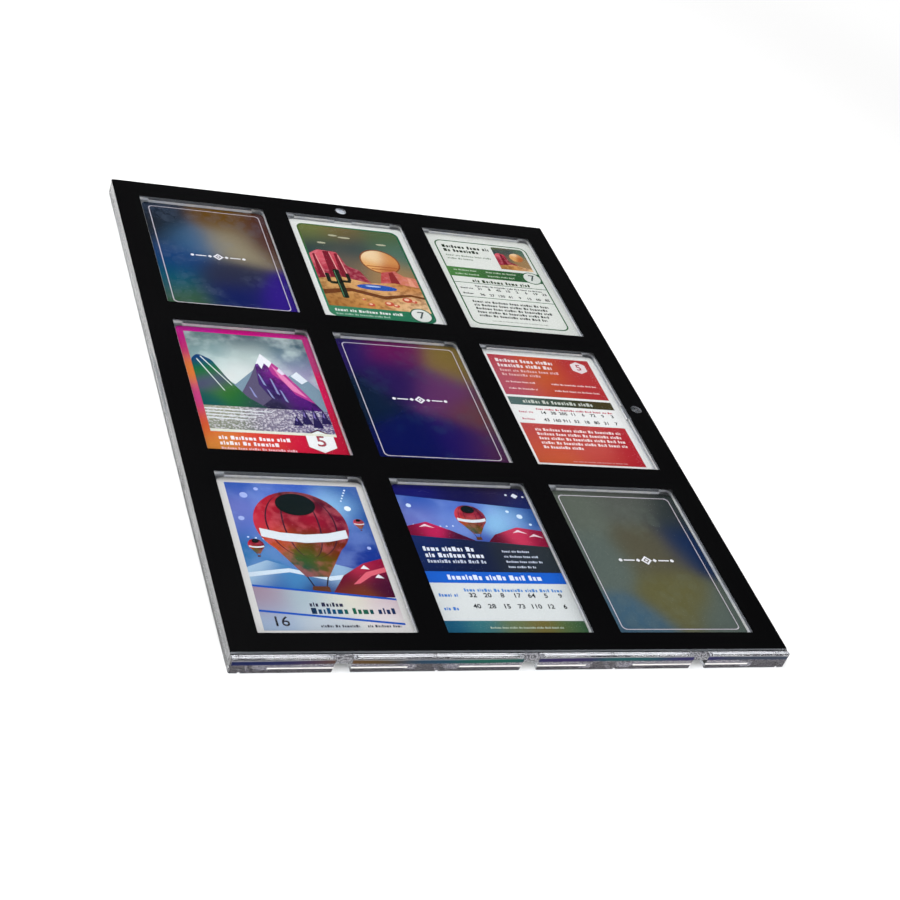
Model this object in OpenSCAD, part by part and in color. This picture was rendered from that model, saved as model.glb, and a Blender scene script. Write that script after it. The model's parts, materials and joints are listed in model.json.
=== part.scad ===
// Clear display case for nine trading cards: a tray with nine pockets, a hinged clear
// lid with a black border film, and four small magnets that hold the lid shut.
// The back lies on z = 0, +z points out of the cards' faces and +y to their tops.

/* [Cards] */
// Width of one card
card_w = 63.5; // [56:0.1:70]
// Height of one card
card_h = 88.9; // [80:0.1:100]
// Thickness of one card
card_t = 0.4; // [0.3:0.05:0.9]
// Radius of a card's corners
card_corner_r = 2.6; // [0.5:0.1:4]
// Gap between a card and the wall that it has slid to, across
card_rest_x = 0.3; // [0.05:0.05:0.5]
// Gap between a card and the wall that it has slid to, upwards
card_rest_y = 0.5; // [0.05:0.05:0.5]

/* [Pockets] */
// Room on each side of a centred card
card_clear_x = 1.3; // [0.6:0.1:2]
// Room above and below a centred card
card_clear_y = 1.3; // [0.6:0.1:2]
// Depth of the pockets
pocket_depth = 1.4; // [1:0.1:3]
// Width of the taller stretch at each end of a pocket
relief_w = 6; // [4:0.5:12]
// How much further these stretches reach up and down
relief_out = 1.7; // [0.5:0.1:3]
// Radius of a pocket's corners
relief_r = 2.5; // [1:0.1:3.5]
// Wall between two pockets side by side
land_x = 10.9; // [8:0.1:20]
// Wall between two pockets one above the other
land_y = 13.3; // [9:0.1:24]
// Wall from the outer pockets to the left and right sides
border_side = 11.5; // [11:0.1:24]
// Wall from the outer pockets to the top and bottom sides
border_end = 12.8; // [12:0.1:24]

/* [Tray] */
// Thickness of the floor under the cards
floor_t = 1.8; // [1.2:0.1:4]
// Radius of the case's upright corners
case_corner_r = 0.9; // [0.3:0.1:2]
// Thickness of the upright rail along the bottom side
rail_t = 2.5; // [2.4:0.1:4]
// Radius of the rounding along the rail's outer top edge
rail_edge_r = 0.8; // [0.3:0.1:0.9]
// Radius of the half-round grooves under the rail
groove_r = 0.6; // [0.3:0.1:1.2]
// Length of these grooves
groove_l = 4; // [2:0.5:8]
// Distance of the outer grooves from the left and right sides
groove_inset = 4; // [2:0.5:10]

/* [Lid] */
// Thickness of the clear lid
lid_t = 4.1; // [3:0.1:6]
// Gap between the closed lid and the tray
lid_gap = 0.1; // [0.05:0.05:0.3]
// Gap between the lid's lower edge and the rail
lid_edge_gap = 0.3; // [0.25:0.05:0.6]
// Length of the finger scallop in the left side
scallop_l = 52; // [30:1:80]
// Height of the scallop at its middle
scallop_rise = 3.4; // [1:0.1:3.4]
// How far the scallop reaches in from the left side
scallop_in = 4; // [2:0.5:8]

/* [Hinge] */
// Distance between the middles of two tabs
tab_pitch = 78; // [60:1:90]
// Width of a tab
tab_w = 6.5; // [5:0.1:12]
// Height of a tab
tab_h = 3.3; // [2.8:0.1:3.6]
// Bevel along a tab's lower outer edge
tab_bevel = 0.5; // [0.1:0.1:0.8]
// How far a tab's neck reaches out from the lid's edge
neck_l = 0.8; // [0.4:0.1:1]
// Depth of this neck below the top of the case
neck_drop = 0.5; // [0.25:0.05:0.8]
// Distance of the hinge axis from the rail's outer face
axis_in = 1.4; // [1.3:0.05:1.5]
// Depth of the hinge axis below the top of the case
axis_drop = 1.1; // [1.05:0.05:1.2]
// Radius of the tabs' side pins
pin_r = 0.55; // [0.4:0.05:0.6]
// Length of a side pin
pin_l = 2; // [1:0.1:4]
// Gap between the rail's rounded edge and the lid's lower edge as it turns past
turn_gap = 0.12; // [0.05:0.01:0.2]
// Gap round a pin in its bore
pin_clear = 0.05; // [0.02:0.01:0.08]
// Gap at each side of a tab, and past the end of its pin
tab_side_gap = 0.2; // [0.1:0.05:0.5]
// Gap between the turning tab and the tray
swing_gap = 0.5; // [0.3:0.1:1]
// How much wider a tab's notch is at the back of the case
notch_flare = 0.6; // [0:0.1:2]

/* [Border film] */
// Thickness of the black film
film_t = 0.2; // [0.1:0.05:0.4]
// How far the film reaches over a pocket at its left and right
film_over_x = 0.8; // [0:0.05:2]
// How far the film reaches over a pocket at its top and bottom
film_over_y = 0.25; // [0:0.05:2]
// Clear margin of the lid that the film leaves along the hinge
film_margin = 0.95; // [0.3:0.05:2]
// Radius of the corners of the film's nine windows
window_corner_r = 0.4; // [0.1:0.1:3]
// Radius of the two round windows over the magnets
sight_r = 2.9; // [1.5:0.1:3.5]

/* [Magnets] */
// Radius of a magnet
magnet_r = 3; // [2:0.1:3.5]
// Thickness of a magnet
magnet_t = 2; // [1:0.1:2.5]
// Gap round a magnet in its bore
magnet_clear = 0.05; // [0.02:0.01:0.1]
// Distance of a magnet's middle from the nearest side
magnet_inset = 6.1; // [5:0.1:7]
// Width of the step in the pocket wall beside a magnet
boss_w = 10; // [6:0.5:20]
// Gap between this step and a centred card
boss_gap = 0.3; // [0.1:0.05:0.4]
// Radius of the step's corners
boss_r = 0.25; // [0.05:0.05:0.25]

/* [Hidden] */
$fn = 64;

// Overrun of a cut past the face that it opens
over = 1;

// The pockets, and the case round them
columns = 3;
rows = 3;
pocket_w = card_w + 2 * card_clear_x;
pocket_h = card_h + 2 * card_clear_y;
pitch_x = pocket_w + land_x;
pitch_y = pocket_h + land_y;
case_w = columns * pocket_w + (columns - 1) * land_x + 2 * border_side;
case_h = rows * pocket_h + (rows - 1) * land_y + 2 * border_end;

// Heights above the back
tray_top = floor_t + pocket_depth;
lid_bottom = tray_top + lid_gap;
lid_top = lid_bottom + lid_t;
case_top = lid_top + film_t;

// The hinge
bottom_side = -case_h / 2;
axis_y = bottom_side + axis_in;
axis_z = case_top - axis_drop;
lid_edge_y = bottom_side + rail_t + lid_edge_gap;
tab_bottom = case_top - tab_h;
rail_round_r = lid_edge_y - axis_y - turn_gap;
swing_r = norm([axis_in, tab_h - axis_drop]);
notch_depth = axis_in + swing_r + swing_gap;
notch_w = tab_w + 2 * tab_side_gap;
notch_foot_w = notch_w + notch_flare;
notch_waist_z = axis_z - swing_r - swing_gap;
tab_xs = [for (i = [-1:1]) i * tab_pitch];
groove_xs = [-case_w / 2 + groove_inset, -tab_pitch / 2, tab_pitch / 2, case_w / 2 - groove_inset];

// The magnets sit beside the top middle pocket and beside the right centre pocket
magnet_top_xy = [0, case_h / 2 - magnet_inset];
magnet_side_xy = [case_w / 2 - magnet_inset, 0];
magnet_xys = [magnet_top_xy, magnet_side_xy];
boss_in_x = card_clear_x - boss_gap;
boss_in_y = card_clear_y - boss_gap;

scallop_r = (pow(scallop_l / 2, 2) + pow(scallop_rise, 2)) / (2 * scallop_rise);

function pocket_xy(column, row) = [(column - 1) * pitch_x, (1 - row) * pitch_y];
function beside_top_magnet(column, row) = column == 1 && row == 0;
function beside_side_magnet(column, row) = column == 2 && row == 1;
function card_slide(column, row) = [
    beside_side_magnet(column, row) ? 0 : card_clear_x - card_rest_x,
    beside_top_magnet(column, row) ? 0 : card_clear_y - card_rest_y];

module rounded_rect(w, h, r) {
    square([w - 2 * r, h], center = true);
    square([w, h - 2 * r], center = true);
    for (x = [-1, 1], y = [-1, 1])
        translate([x * (w / 2 - r), y * (h / 2 - r)])
            circle(r = r);
}

module case_outline() {
    rounded_rect(case_w, case_h, case_corner_r);
}

// The taller stretch at the right end of a pocket, whose outer corners are round
module pocket_end() {
    h = pocket_h + 2 * relief_out;
    translate([-relief_w, -h / 2])
        square([relief_w - relief_r, h]);
    translate([-relief_w, -h / 2 + relief_r])
        square([relief_w, h - 2 * relief_r]);
    for (y = [-1, 1])
        translate([-relief_r, y * (h / 2 - relief_r)])
            circle(r = relief_r);
}

module pocket_outline(column, row) {
    difference() {
        union() {
            square([pocket_w - 2 * relief_r, pocket_h], center = true);
            for (side = [0, 1])
                mirror([side, 0])
                    translate([pocket_w / 2, 0])
                        pocket_end();
        }
        if (beside_top_magnet(column, row))
            translate([0, pocket_h / 2])
                rounded_rect(boss_w, 2 * boss_in_y, boss_r);
        if (beside_side_magnet(column, row))
            translate([pocket_w / 2, 0])
                rounded_rect(2 * boss_in_x, boss_w, boss_r);
    }
}

module pockets() {
    for (column = [0:columns - 1], row = [0:rows - 1])
        translate([pocket_xy(column, row)[0], pocket_xy(column, row)[1], floor_t])
            linear_extrude(pocket_depth + over)
                pocket_outline(column, row);
}

// The rail along the bottom side, whose inner top edge is rounded about the hinge axis
module rail() {
    difference() {
        linear_extrude(case_top)
            intersection() {
                case_outline();
                translate([-case_w / 2, bottom_side])
                    square([case_w, rail_t]);
            }
        translate([-case_w / 2 - over, axis_y, axis_z])
            rail_rounding(case_w + 2 * over);
        outer_edge_rounding(case_w + 2 * over);
    }
}

module rail_rounding(l) {
    difference() {
        cube([l, rail_t, axis_drop + over]);
        translate([-over, 0, 0])
            rotate([0, 90, 0])
                cylinder(r = rail_round_r, h = l + 2 * over);
    }
}

// What the rounding of the outer top edge takes off the rail and the tabs
module outer_edge_rounding(l) {
    translate([-l / 2, bottom_side + rail_edge_r, case_top - rail_edge_r])
        difference() {
            translate([0, -rail_edge_r - over, 0])
                cube([l, rail_edge_r + over, rail_edge_r + over]);
            translate([-over, 0, 0])
                rotate([0, 90, 0])
                    cylinder(r = rail_edge_r, h = l + 2 * over);
        }
}

// The opening that a tab turns in: upright beside the tab, and wider towards the back
module tab_notch() {
    translate([0, bottom_side + notch_depth, 0])
        rotate([90, 0, 0])
            linear_extrude(notch_depth + over)
                polygon([
                    [-notch_foot_w / 2, -over],
                    [-notch_foot_w / 2, 0],
                    [-notch_w / 2, notch_waist_z],
                    [-notch_w / 2, case_top + over],
                    [notch_w / 2, case_top + over],
                    [notch_w / 2, notch_waist_z],
                    [notch_foot_w / 2, 0],
                    [notch_foot_w / 2, -over]]);
}

// A pin through a tab, or the bore for it when clear is more than 0
module hinge_pin(clear, end_gap) {
    l = tab_w + 2 * (pin_l + end_gap);
    translate([-l / 2, axis_y, axis_z])
        rotate([0, 90, 0])
            cylinder(r = pin_r + clear, h = l);
}

module rail_grooves() {
    for (x = groove_xs)
        translate([x, bottom_side - over, 0])
            rotate([-90, 0, 0])
                cylinder(r = groove_r, h = groove_l + over);
}

module base_tray() {
    color([0.86, 0.89, 0.91, 0.5])
        difference() {
            union() {
                linear_extrude(tray_top)
                    case_outline();
                rail();
            }
            pockets();
            for (x = tab_xs)
                translate([x, 0, 0]) {
                    tab_notch();
                    hinge_pin(pin_clear, tab_side_gap);
                }
            for (xy = magnet_xys)
                translate([xy[0], xy[1], tray_top - magnet_t])
                    cylinder(r = magnet_r + magnet_clear, h = magnet_t + over);
            rail_grooves();
        }
}

// A tab seen from its end: y from the rail's outer face to inside the lid
module tab_section() {
    polygon([
        [bottom_side, case_top],
        [lid_edge_y - neck_l, case_top],
        [lid_edge_y - neck_l, case_top - neck_drop],
        [lid_edge_y + neck_l, case_top - neck_drop],
        [lid_edge_y + neck_l, tab_bottom],
        [bottom_side + tab_bevel, tab_bottom],
        [bottom_side, tab_bottom + tab_bevel]]);
}

module hinge_tab() {
    difference() {
        translate([-tab_w / 2, 0, 0])
            rotate([90, 0, 90])
                linear_extrude(tab_w)
                    tab_section();
        outer_edge_rounding(tab_w + 2 * over);
    }
    hinge_pin(0, 0);
}

module scallop_cut() {
    translate([-case_w / 2 - over, 0, lid_bottom + scallop_rise - scallop_r])
        rotate([0, 90, 0])
            cylinder(r = scallop_r, h = scallop_in + over, $fn = 180);
}

// The outline of the lid or of the film on it, down to its lower edge
module lid_outline(lower_edge_y) {
    difference() {
        case_outline();
        translate([-case_w / 2 - over, bottom_side - over])
            square([case_w + 2 * over, lower_edge_y - bottom_side + over]);
    }
}

module lid_cover() {
    color([0.9, 0.93, 0.95, 0.4])
        difference() {
            union() {
                translate([0, 0, lid_bottom])
                    linear_extrude(lid_t)
                        lid_outline(lid_edge_y);
                for (x = tab_xs)
                    translate([x, 0, 0])
                        hinge_tab();
            }
            scallop_cut();
            for (xy = magnet_xys)
                translate([xy[0], xy[1], lid_bottom - over])
                    cylinder(r = magnet_r + magnet_clear, h = magnet_t + over);
        }
}

module border_mask() {
    color([0.02, 0.02, 0.025])
        translate([0, 0, lid_top])
            linear_extrude(film_t)
                difference() {
                    lid_outline(lid_edge_y + film_margin);
                    for (column = [0:columns - 1], row = [0:rows - 1])
                        translate(pocket_xy(column, row))
                            rounded_rect(pocket_w - 2 * film_over_x, pocket_h - 2 * film_over_y, window_corner_r);
                    for (xy = magnet_xys)
                        translate(xy)
                            circle(r = sight_r);
                }
}

module magnet(xy, z) {
    color([0.78, 0.79, 0.8])
        translate([xy[0], xy[1], z])
            cylinder(r = magnet_r, h = magnet_t);
}

module card(column, row, shade) {
    color(shade)
        translate([pocket_xy(column, row)[0] + card_slide(column, row)[0],
                pocket_xy(column, row)[1] + card_slide(column, row)[1], floor_t])
            linear_extrude(card_t)
                rounded_rect(card_w, card_h, card_corner_r);
}

base_tray();
lid_cover();
border_mask();
magnet(magnet_top_xy, tray_top - magnet_t);  // base_magnet_top
magnet(magnet_side_xy, tray_top - magnet_t);  // base_magnet_side
magnet(magnet_top_xy, lid_bottom);  // lid_magnet_top
magnet(magnet_side_xy, lid_bottom);  // lid_magnet_side
card(0, 0, [0.2, 0.3, 0.45]);  // card_top_left
card(1, 0, [0.35, 0.55, 0.35]);  // card_top_middle
card(2, 0, [0.85, 0.87, 0.84]);  // card_top_right
card(0, 1, [0.8, 0.15, 0.3]);  // card_centre_left
card(1, 1, [0.25, 0.15, 0.5]);  // card_centre_middle
card(2, 1, [0.8, 0.25, 0.22]);  // card_centre_right
card(0, 2, [0.65, 0.8, 0.9]);  // card_bottom_left
card(1, 2, [0.15, 0.3, 0.6]);  // card_bottom_middle
card(2, 2, [0.4, 0.43, 0.38]);  // card_bottom_right
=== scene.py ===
"""The looks of a clear display case for nine trading cards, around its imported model.

The case lies on its back. The cards' faces point along +z and their tops along +y.
"""

import json
import math

import bmesh
import bpy
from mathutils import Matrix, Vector

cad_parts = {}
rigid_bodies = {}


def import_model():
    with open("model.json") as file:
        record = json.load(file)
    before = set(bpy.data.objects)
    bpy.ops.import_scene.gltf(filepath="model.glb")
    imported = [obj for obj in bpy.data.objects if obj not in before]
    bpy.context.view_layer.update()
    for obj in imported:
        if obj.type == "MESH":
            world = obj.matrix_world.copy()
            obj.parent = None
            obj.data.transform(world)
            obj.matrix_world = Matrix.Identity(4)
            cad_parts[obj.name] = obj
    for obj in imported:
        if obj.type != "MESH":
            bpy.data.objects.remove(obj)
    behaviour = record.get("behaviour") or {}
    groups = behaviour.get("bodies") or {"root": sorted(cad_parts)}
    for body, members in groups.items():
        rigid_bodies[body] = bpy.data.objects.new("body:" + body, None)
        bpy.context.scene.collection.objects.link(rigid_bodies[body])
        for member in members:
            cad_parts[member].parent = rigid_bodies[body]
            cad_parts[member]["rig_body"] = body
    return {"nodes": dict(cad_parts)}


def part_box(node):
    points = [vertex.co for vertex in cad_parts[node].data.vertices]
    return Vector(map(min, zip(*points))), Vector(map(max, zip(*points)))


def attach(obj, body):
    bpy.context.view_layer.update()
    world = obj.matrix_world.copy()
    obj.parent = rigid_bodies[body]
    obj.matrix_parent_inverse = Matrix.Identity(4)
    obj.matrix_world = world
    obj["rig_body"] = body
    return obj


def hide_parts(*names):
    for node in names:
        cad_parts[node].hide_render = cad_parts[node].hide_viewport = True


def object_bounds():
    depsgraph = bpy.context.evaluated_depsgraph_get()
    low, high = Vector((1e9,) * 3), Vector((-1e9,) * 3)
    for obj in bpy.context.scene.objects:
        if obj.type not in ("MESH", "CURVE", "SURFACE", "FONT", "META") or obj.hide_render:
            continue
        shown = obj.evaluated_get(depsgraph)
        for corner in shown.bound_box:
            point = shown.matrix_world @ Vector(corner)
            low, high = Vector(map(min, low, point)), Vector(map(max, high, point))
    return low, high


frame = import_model()
CAD_LOW, CAD_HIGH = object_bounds()

bl_info = {
    "name": "Trading Card Display Case",
    "version": (1, 0, 0),
    "blender": (4, 5, 0),
    "location": "View3D > Sidebar > Card Case",
    "description": "Dresses a clear nine-card display case and sets up its studio",
    "category": "Add Mesh",
}

MM = 0.001
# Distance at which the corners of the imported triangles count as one
WELD = 0.001 * MM
# Angle up to which two faces count as one flat face
FLAT_ANGLE = math.radians(0.5)
# Gap that keeps two surfaces that touch from being drawn in the same place
CONTACT = 0.01 * MM
# Depth of the finest grain in a finish
FINE_GRAIN = 0.01 * MM


def shade(code):
    """A colour as Blender wants it, from a code such as #ff8800."""
    parts = [int(code[i:i + 2], 16) / 255 for i in (1, 3, 5)]
    return tuple(c / 12.92 if c <= 0.04045 else ((c + 0.055) / 1.055) ** 2.4 for c in parts)


class CaseSettings(bpy.types.PropertyGroup):
    """Edges and finishes of the clear case, its border film and its magnets."""

    edge_round: bpy.props.FloatProperty(
        name="Edge rounding",
        description="Radius of the rounding on the moulded edges",
        default=0.1 * MM, min=0.01 * MM, max=0.2 * MM, precision=6, unit="LENGTH")
    acrylic_tint: bpy.props.FloatVectorProperty(
        name="Acrylic tint",
        description="Colour that the clear acrylic gives to what is behind it",
        default=shade("#fbfcff"), size=3, min=0, max=1, subtype="COLOR")
    acrylic_ior: bpy.props.FloatProperty(
        name="Acrylic index",
        description="How strongly the clear acrylic bends light",
        default=1.49, min=1.3, max=1.7)
    frost: bpy.props.FloatProperty(
        name="Tab frosting",
        description="Roughness of the frosted hinge tabs",
        default=0.42, min=0, max=1, subtype="FACTOR")
    frost_start: bpy.props.FloatProperty(
        name="Frosting start",
        description="Where the tabs' frosting begins, along y",
        default=-161.3 * MM, precision=5, unit="LENGTH")
    tab_foot: bpy.props.FloatProperty(
        name="Tab foot",
        description="Height of the tabs' lower edge above the back",
        default=4.3 * MM, precision=5, unit="LENGTH")
    pocket_floor: bpy.props.FloatProperty(
        name="Pocket floor",
        description="Height of the pockets' floor above the back",
        default=1.8 * MM, precision=5, unit="LENGTH")
    tray_top: bpy.props.FloatProperty(
        name="Tray top",
        description="Height of the tray's top above the back",
        default=3.2 * MM, precision=5, unit="LENGTH")
    border_colour: bpy.props.FloatVectorProperty(
        name="Border film",
        description="Colour of the black border film",
        default=shade("#050506"), size=3, min=0, max=1, subtype="COLOR")
    nickel_colour: bpy.props.FloatVectorProperty(
        name="Magnets",
        description="Colour of the magnets' nickel plating",
        default=shade("#d9d9d6"), size=3, min=0, max=1, subtype="COLOR")
    magnet_round: bpy.props.FloatProperty(
        name="Magnet rounding",
        description="Radius of the rounding on a magnet's rims",
        default=0.25 * MM, min=0.02 * MM, max=0.6 * MM, precision=6, unit="LENGTH")


class CardSettings(bpy.types.PropertyGroup):
    """Stock, inks and printed lines of the trading cards."""

    paper_colour: bpy.props.FloatVectorProperty(
        name="Card stock",
        description="Colour of the white card stock",
        default=shade("#e4e3de"), size=3, min=0, max=1, subtype="COLOR")
    corner: bpy.props.FloatProperty(
        name="Corner radius",
        description="Radius of a card's corners",
        default=2.6 * MM, min=0.5 * MM, max=4 * MM, precision=5, unit="LENGTH")
    print_step: bpy.props.FloatProperty(
        name="Print step",
        description="Height of one layer of ink over the layer below it",
        default=0.008 * MM, min=0.002 * MM, max=0.012 * MM, precision=6, unit="LENGTH")
    line_inset: bpy.props.FloatProperty(
        name="Line inset",
        description="Distance of a foil card's pale line from the card's edge",
        default=2.9 * MM, min=1 * MM, max=8 * MM, precision=5, unit="LENGTH")
    line_width: bpy.props.FloatProperty(
        name="Line width",
        description="Width of a foil card's pale line",
        default=0.42 * MM, min=0.1 * MM, max=1 * MM, precision=6, unit="LENGTH")


class StudioSettings(bpy.types.PropertyGroup):
    """Floor, lamps and camera."""

    floor_colour: bpy.props.FloatVectorProperty(
        name="Floor",
        description="Colour of the pale floor",
        default=shade("#fcfcfc"), size=3, min=0, max=1, subtype="COLOR")
    camera_place: bpy.props.FloatVectorProperty(
        name="Camera place",
        description="Where the camera stands",
        default=(-0.28641, -0.54092, 0.41867), size=3, subtype="TRANSLATION")
    camera_turn: bpy.props.FloatVectorProperty(
        name="Camera turn",
        description="How the camera is turned about x, y and z",
        default=[math.radians(a) for a in (52.722, -17.241, -17.236)], size=3, subtype="EULER")
    camera_lens: bpy.props.FloatProperty(
        name="Lens",
        description="Focal length on a 36 mm sensor, in millimetres",
        default=63.71, min=20, max=200)


def case_settings():
    return bpy.context.scene.card_case_settings


def card_settings():
    return bpy.context.scene.card_print_settings


def studio_settings():
    return bpy.context.scene.card_studio_settings


# Shader nodes

def add(tree, kind, inputs=None, **settings):
    """A shader node with its settings, and its inputs as values or as sockets to link."""
    node = tree.nodes.new(kind)
    for name, value in settings.items():
        setattr(node, name, value)
    for key, value in (inputs or {}).items():
        if isinstance(value, bpy.types.NodeSocket):
            tree.links.new(value, node.inputs[key])
        else:
            node.inputs[key].default_value = value
    return node


def calc(tree, operation, *values):
    """The result of a math node."""
    return add(tree, "ShaderNodeMath", dict(enumerate(values)), operation=operation).outputs[0]


def vector_calc(tree, operation, *values):
    """The resulting vector of a vector math node."""
    node = add(tree, "ShaderNodeVectorMath", dict(enumerate(values)), operation=operation)
    return node.outputs[0]


def axes(tree, where):
    """The X, Y and Z sockets of a place."""
    return add(tree, "ShaderNodeSeparateXYZ", {0: where}).outputs


def remap(tree, value, low, high, to_low, to_high):
    """The value between low and high, carried over softly to the range from to_low to to_high."""
    return add(
        tree, "ShaderNodeMapRange",
        {"Value": value, "From Min": low, "From Max": high, "To Min": to_low, "To Max": to_high},
        interpolation_type="SMOOTHSTEP").outputs["Result"]


def near(tree, value, middle, core, reach):
    """1 where the value is within the core of the middle, which falls to 0 at the reach."""
    away = calc(tree, "ABSOLUTE", calc(tree, "SUBTRACT", value, middle))
    return remap(tree, away, core, reach, 1.0, 0.0)


def noise(tree, where, scale, detail=2.0):
    """Noise from 0 to 1 whose scale is in cells per metre."""
    node = add(tree, "ShaderNodeTexNoise", {"Vector": where, "Scale": scale, "Detail": detail})
    return node.outputs["Fac"]


def opaque(colour):
    """A colour, or a code such as #ff8800, with full alpha."""
    return (*(shade(colour) if isinstance(colour, str) else colour), 1.0)


def mix_colour(tree, factor, below, above):
    """The colour below, covered by the colour above as far as the factor says."""
    node = add(tree, "ShaderNodeMix", {0: factor, 6: below, 7: above}, data_type="RGBA")
    return node.outputs[2]


def mottled(tree, pattern, low, high, first, second):
    """The first colour where a pattern is below low, and the second where it is above high."""
    cover = remap(tree, pattern, low, high, 0.0, 1.0)
    return mix_colour(tree, cover, opaque(first), opaque(second))


def bump(tree, height, strength, distance):
    node = add(
        tree, "ShaderNodeBump",
        {"Height": height, "Strength": strength, "Distance": distance})
    return node.outputs["Normal"]


def new_finish(name):
    """An empty material, its node tree, and the Object coordinates in it."""
    material = bpy.data.materials.new(name)
    material.use_nodes = True
    tree = material.node_tree
    tree.nodes.clear()
    return material, tree, add(tree, "ShaderNodeTexCoord").outputs["Object"]


def surface(tree, shader):
    add(tree, "ShaderNodeOutputMaterial", {"Surface": shader.outputs[0]})


# Finishes of the case

# What rays from lamps and from pale surfaces keep on their way through the acrylic
LAMP_TINT = (0.93, 0.94, 0.95, 1.0)
# Colours of the painted rainbow reflection band in the rail's outer face, from left to right, as (x
# in mm, colour)
RAINBOW_REFLECTION_COLOURS = (
    (-108, "#16204c"), (-90, "#181c50"), (-80, "#68481c"), (-66, "#4c3c20"), (-44, "#1c3c54"),
    (-18, "#185448"), (14, "#2c2050"), (46, "#184c50"), (72, "#282454"), (104, "#343c4c"))
# How far each of them holds, in mm
RAINBOW_REFLECTION_HOLD = 13.0
# The band's middle above the back, how far this wanders, and how far from it the band is full and
# where it ends, in mm
RAINBOW_REFLECTION_MIDDLE = 5.6
RAINBOW_REFLECTION_WANDER = 0.35
RAINBOW_REFLECTION_CORE = 0.75
RAINBOW_REFLECTION_REACH = 1.45
# The pockets' foot, as a painted highlight line in the rail's outer face: its height above the
# back, half its thickness, its middle from the middle of a card and half its length, in mm
FOOT_HIGHLIGHT = 2.5
FOOT_HIGHLIGHT_HALF = 0.32
FOOT_HIGHLIGHT_MIDDLE = -2.5
FOOT_HIGHLIGHT_REACH = 27.5
CARD_PITCH = 77
# How much of the light the grained lower part of this face stops
RAIL_HAZE = 0.16


def lamps_pass(tree, glass):
    """The glass, which rays from lamps and from pale surfaces go straight through."""
    rays = add(tree, "ShaderNodeLightPath").outputs
    clear = add(tree, "ShaderNodeBsdfTransparent", {"Color": LAMP_TINT})
    for kind in ("Is Shadow Ray", "Is Diffuse Ray"):
        glass = add(
            tree, "ShaderNodeMixShader", {0: rays[kind], 1: glass.outputs[0], 2: clear.outputs[0]})
    return glass


def acrylic(tree, tint, roughness, clear, others):
    """Makes the surface acrylic, with further inputs of its shader as the others."""
    glass = add(tree, "ShaderNodeBsdfPrincipled", {
        "Base Color": tint,
        "Roughness": roughness,
        "IOR": case_settings().acrylic_ior,
        "Transmission Weight": clear,
        **others})
    surface(tree, lamps_pass(tree, glass))


def clear_acrylic(name, look, specular=0.5):
    """Polished clear acrylic with the faint unevenness of a moulding."""
    material, tree, place = new_finish(name)
    tint, clear = look(tree, place)
    roughness = remap(tree, noise(tree, place, 60.0), 0.4, 0.7, 0.0, 0.02)
    acrylic(tree, tint, roughness, clear, {"Specular IOR Level": specular})
    return material


def lined_sides(tree, place):
    """Tint of clear acrylic with fine lines along its left and right sides, and where they are."""
    across = calc(tree, "ABSOLUTE", axes(tree, place)["X"])
    side = remap(tree, across, CAD_HIGH.x - 0.3 * MM, CAD_HIGH.x - 0.12 * MM, 0.0, 1.0)
    lines = noise(tree, vector_calc(tree, "MULTIPLY", place, (0, 0.015, 1)), 1400.0, 1.0)
    grey = mottled(tree, lines, 0.42, 0.58, "#6c7078", "#ffffff")
    return mix_colour(tree, side, opaque(case_settings().acrylic_tint), grey), side


def lid_look(tree, place):
    """Tint and clearness of the lid."""
    tint, side = lined_sides(tree, place)
    return tint, remap(tree, side, 0.0, 1.0, 1.0, 0.75)


def painted_foot_highlight(tree, spot):
    """Where the painted highlight line of the pockets' foot is."""
    span = calc(tree, "ADD", spot["X"], -FOOT_HIGHLIGHT_MIDDLE * MM)
    span = calc(tree, "WRAP", span, CARD_PITCH / 2 * MM, -CARD_PITCH / 2 * MM)
    span = calc(tree, "ABSOLUTE", span)
    span = remap(tree, span, FOOT_HIGHLIGHT_REACH * MM, (FOOT_HIGHLIGHT_REACH + 0.5) * MM, 1.0, 0.0)
    line = near(
        tree, spot["Z"], FOOT_HIGHLIGHT * MM, FOOT_HIGHLIGHT_HALF * MM, (FOOT_HIGHLIGHT_HALF + 0.12) * MM)
    return calc(tree, "MULTIPLY", line, span)


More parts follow.
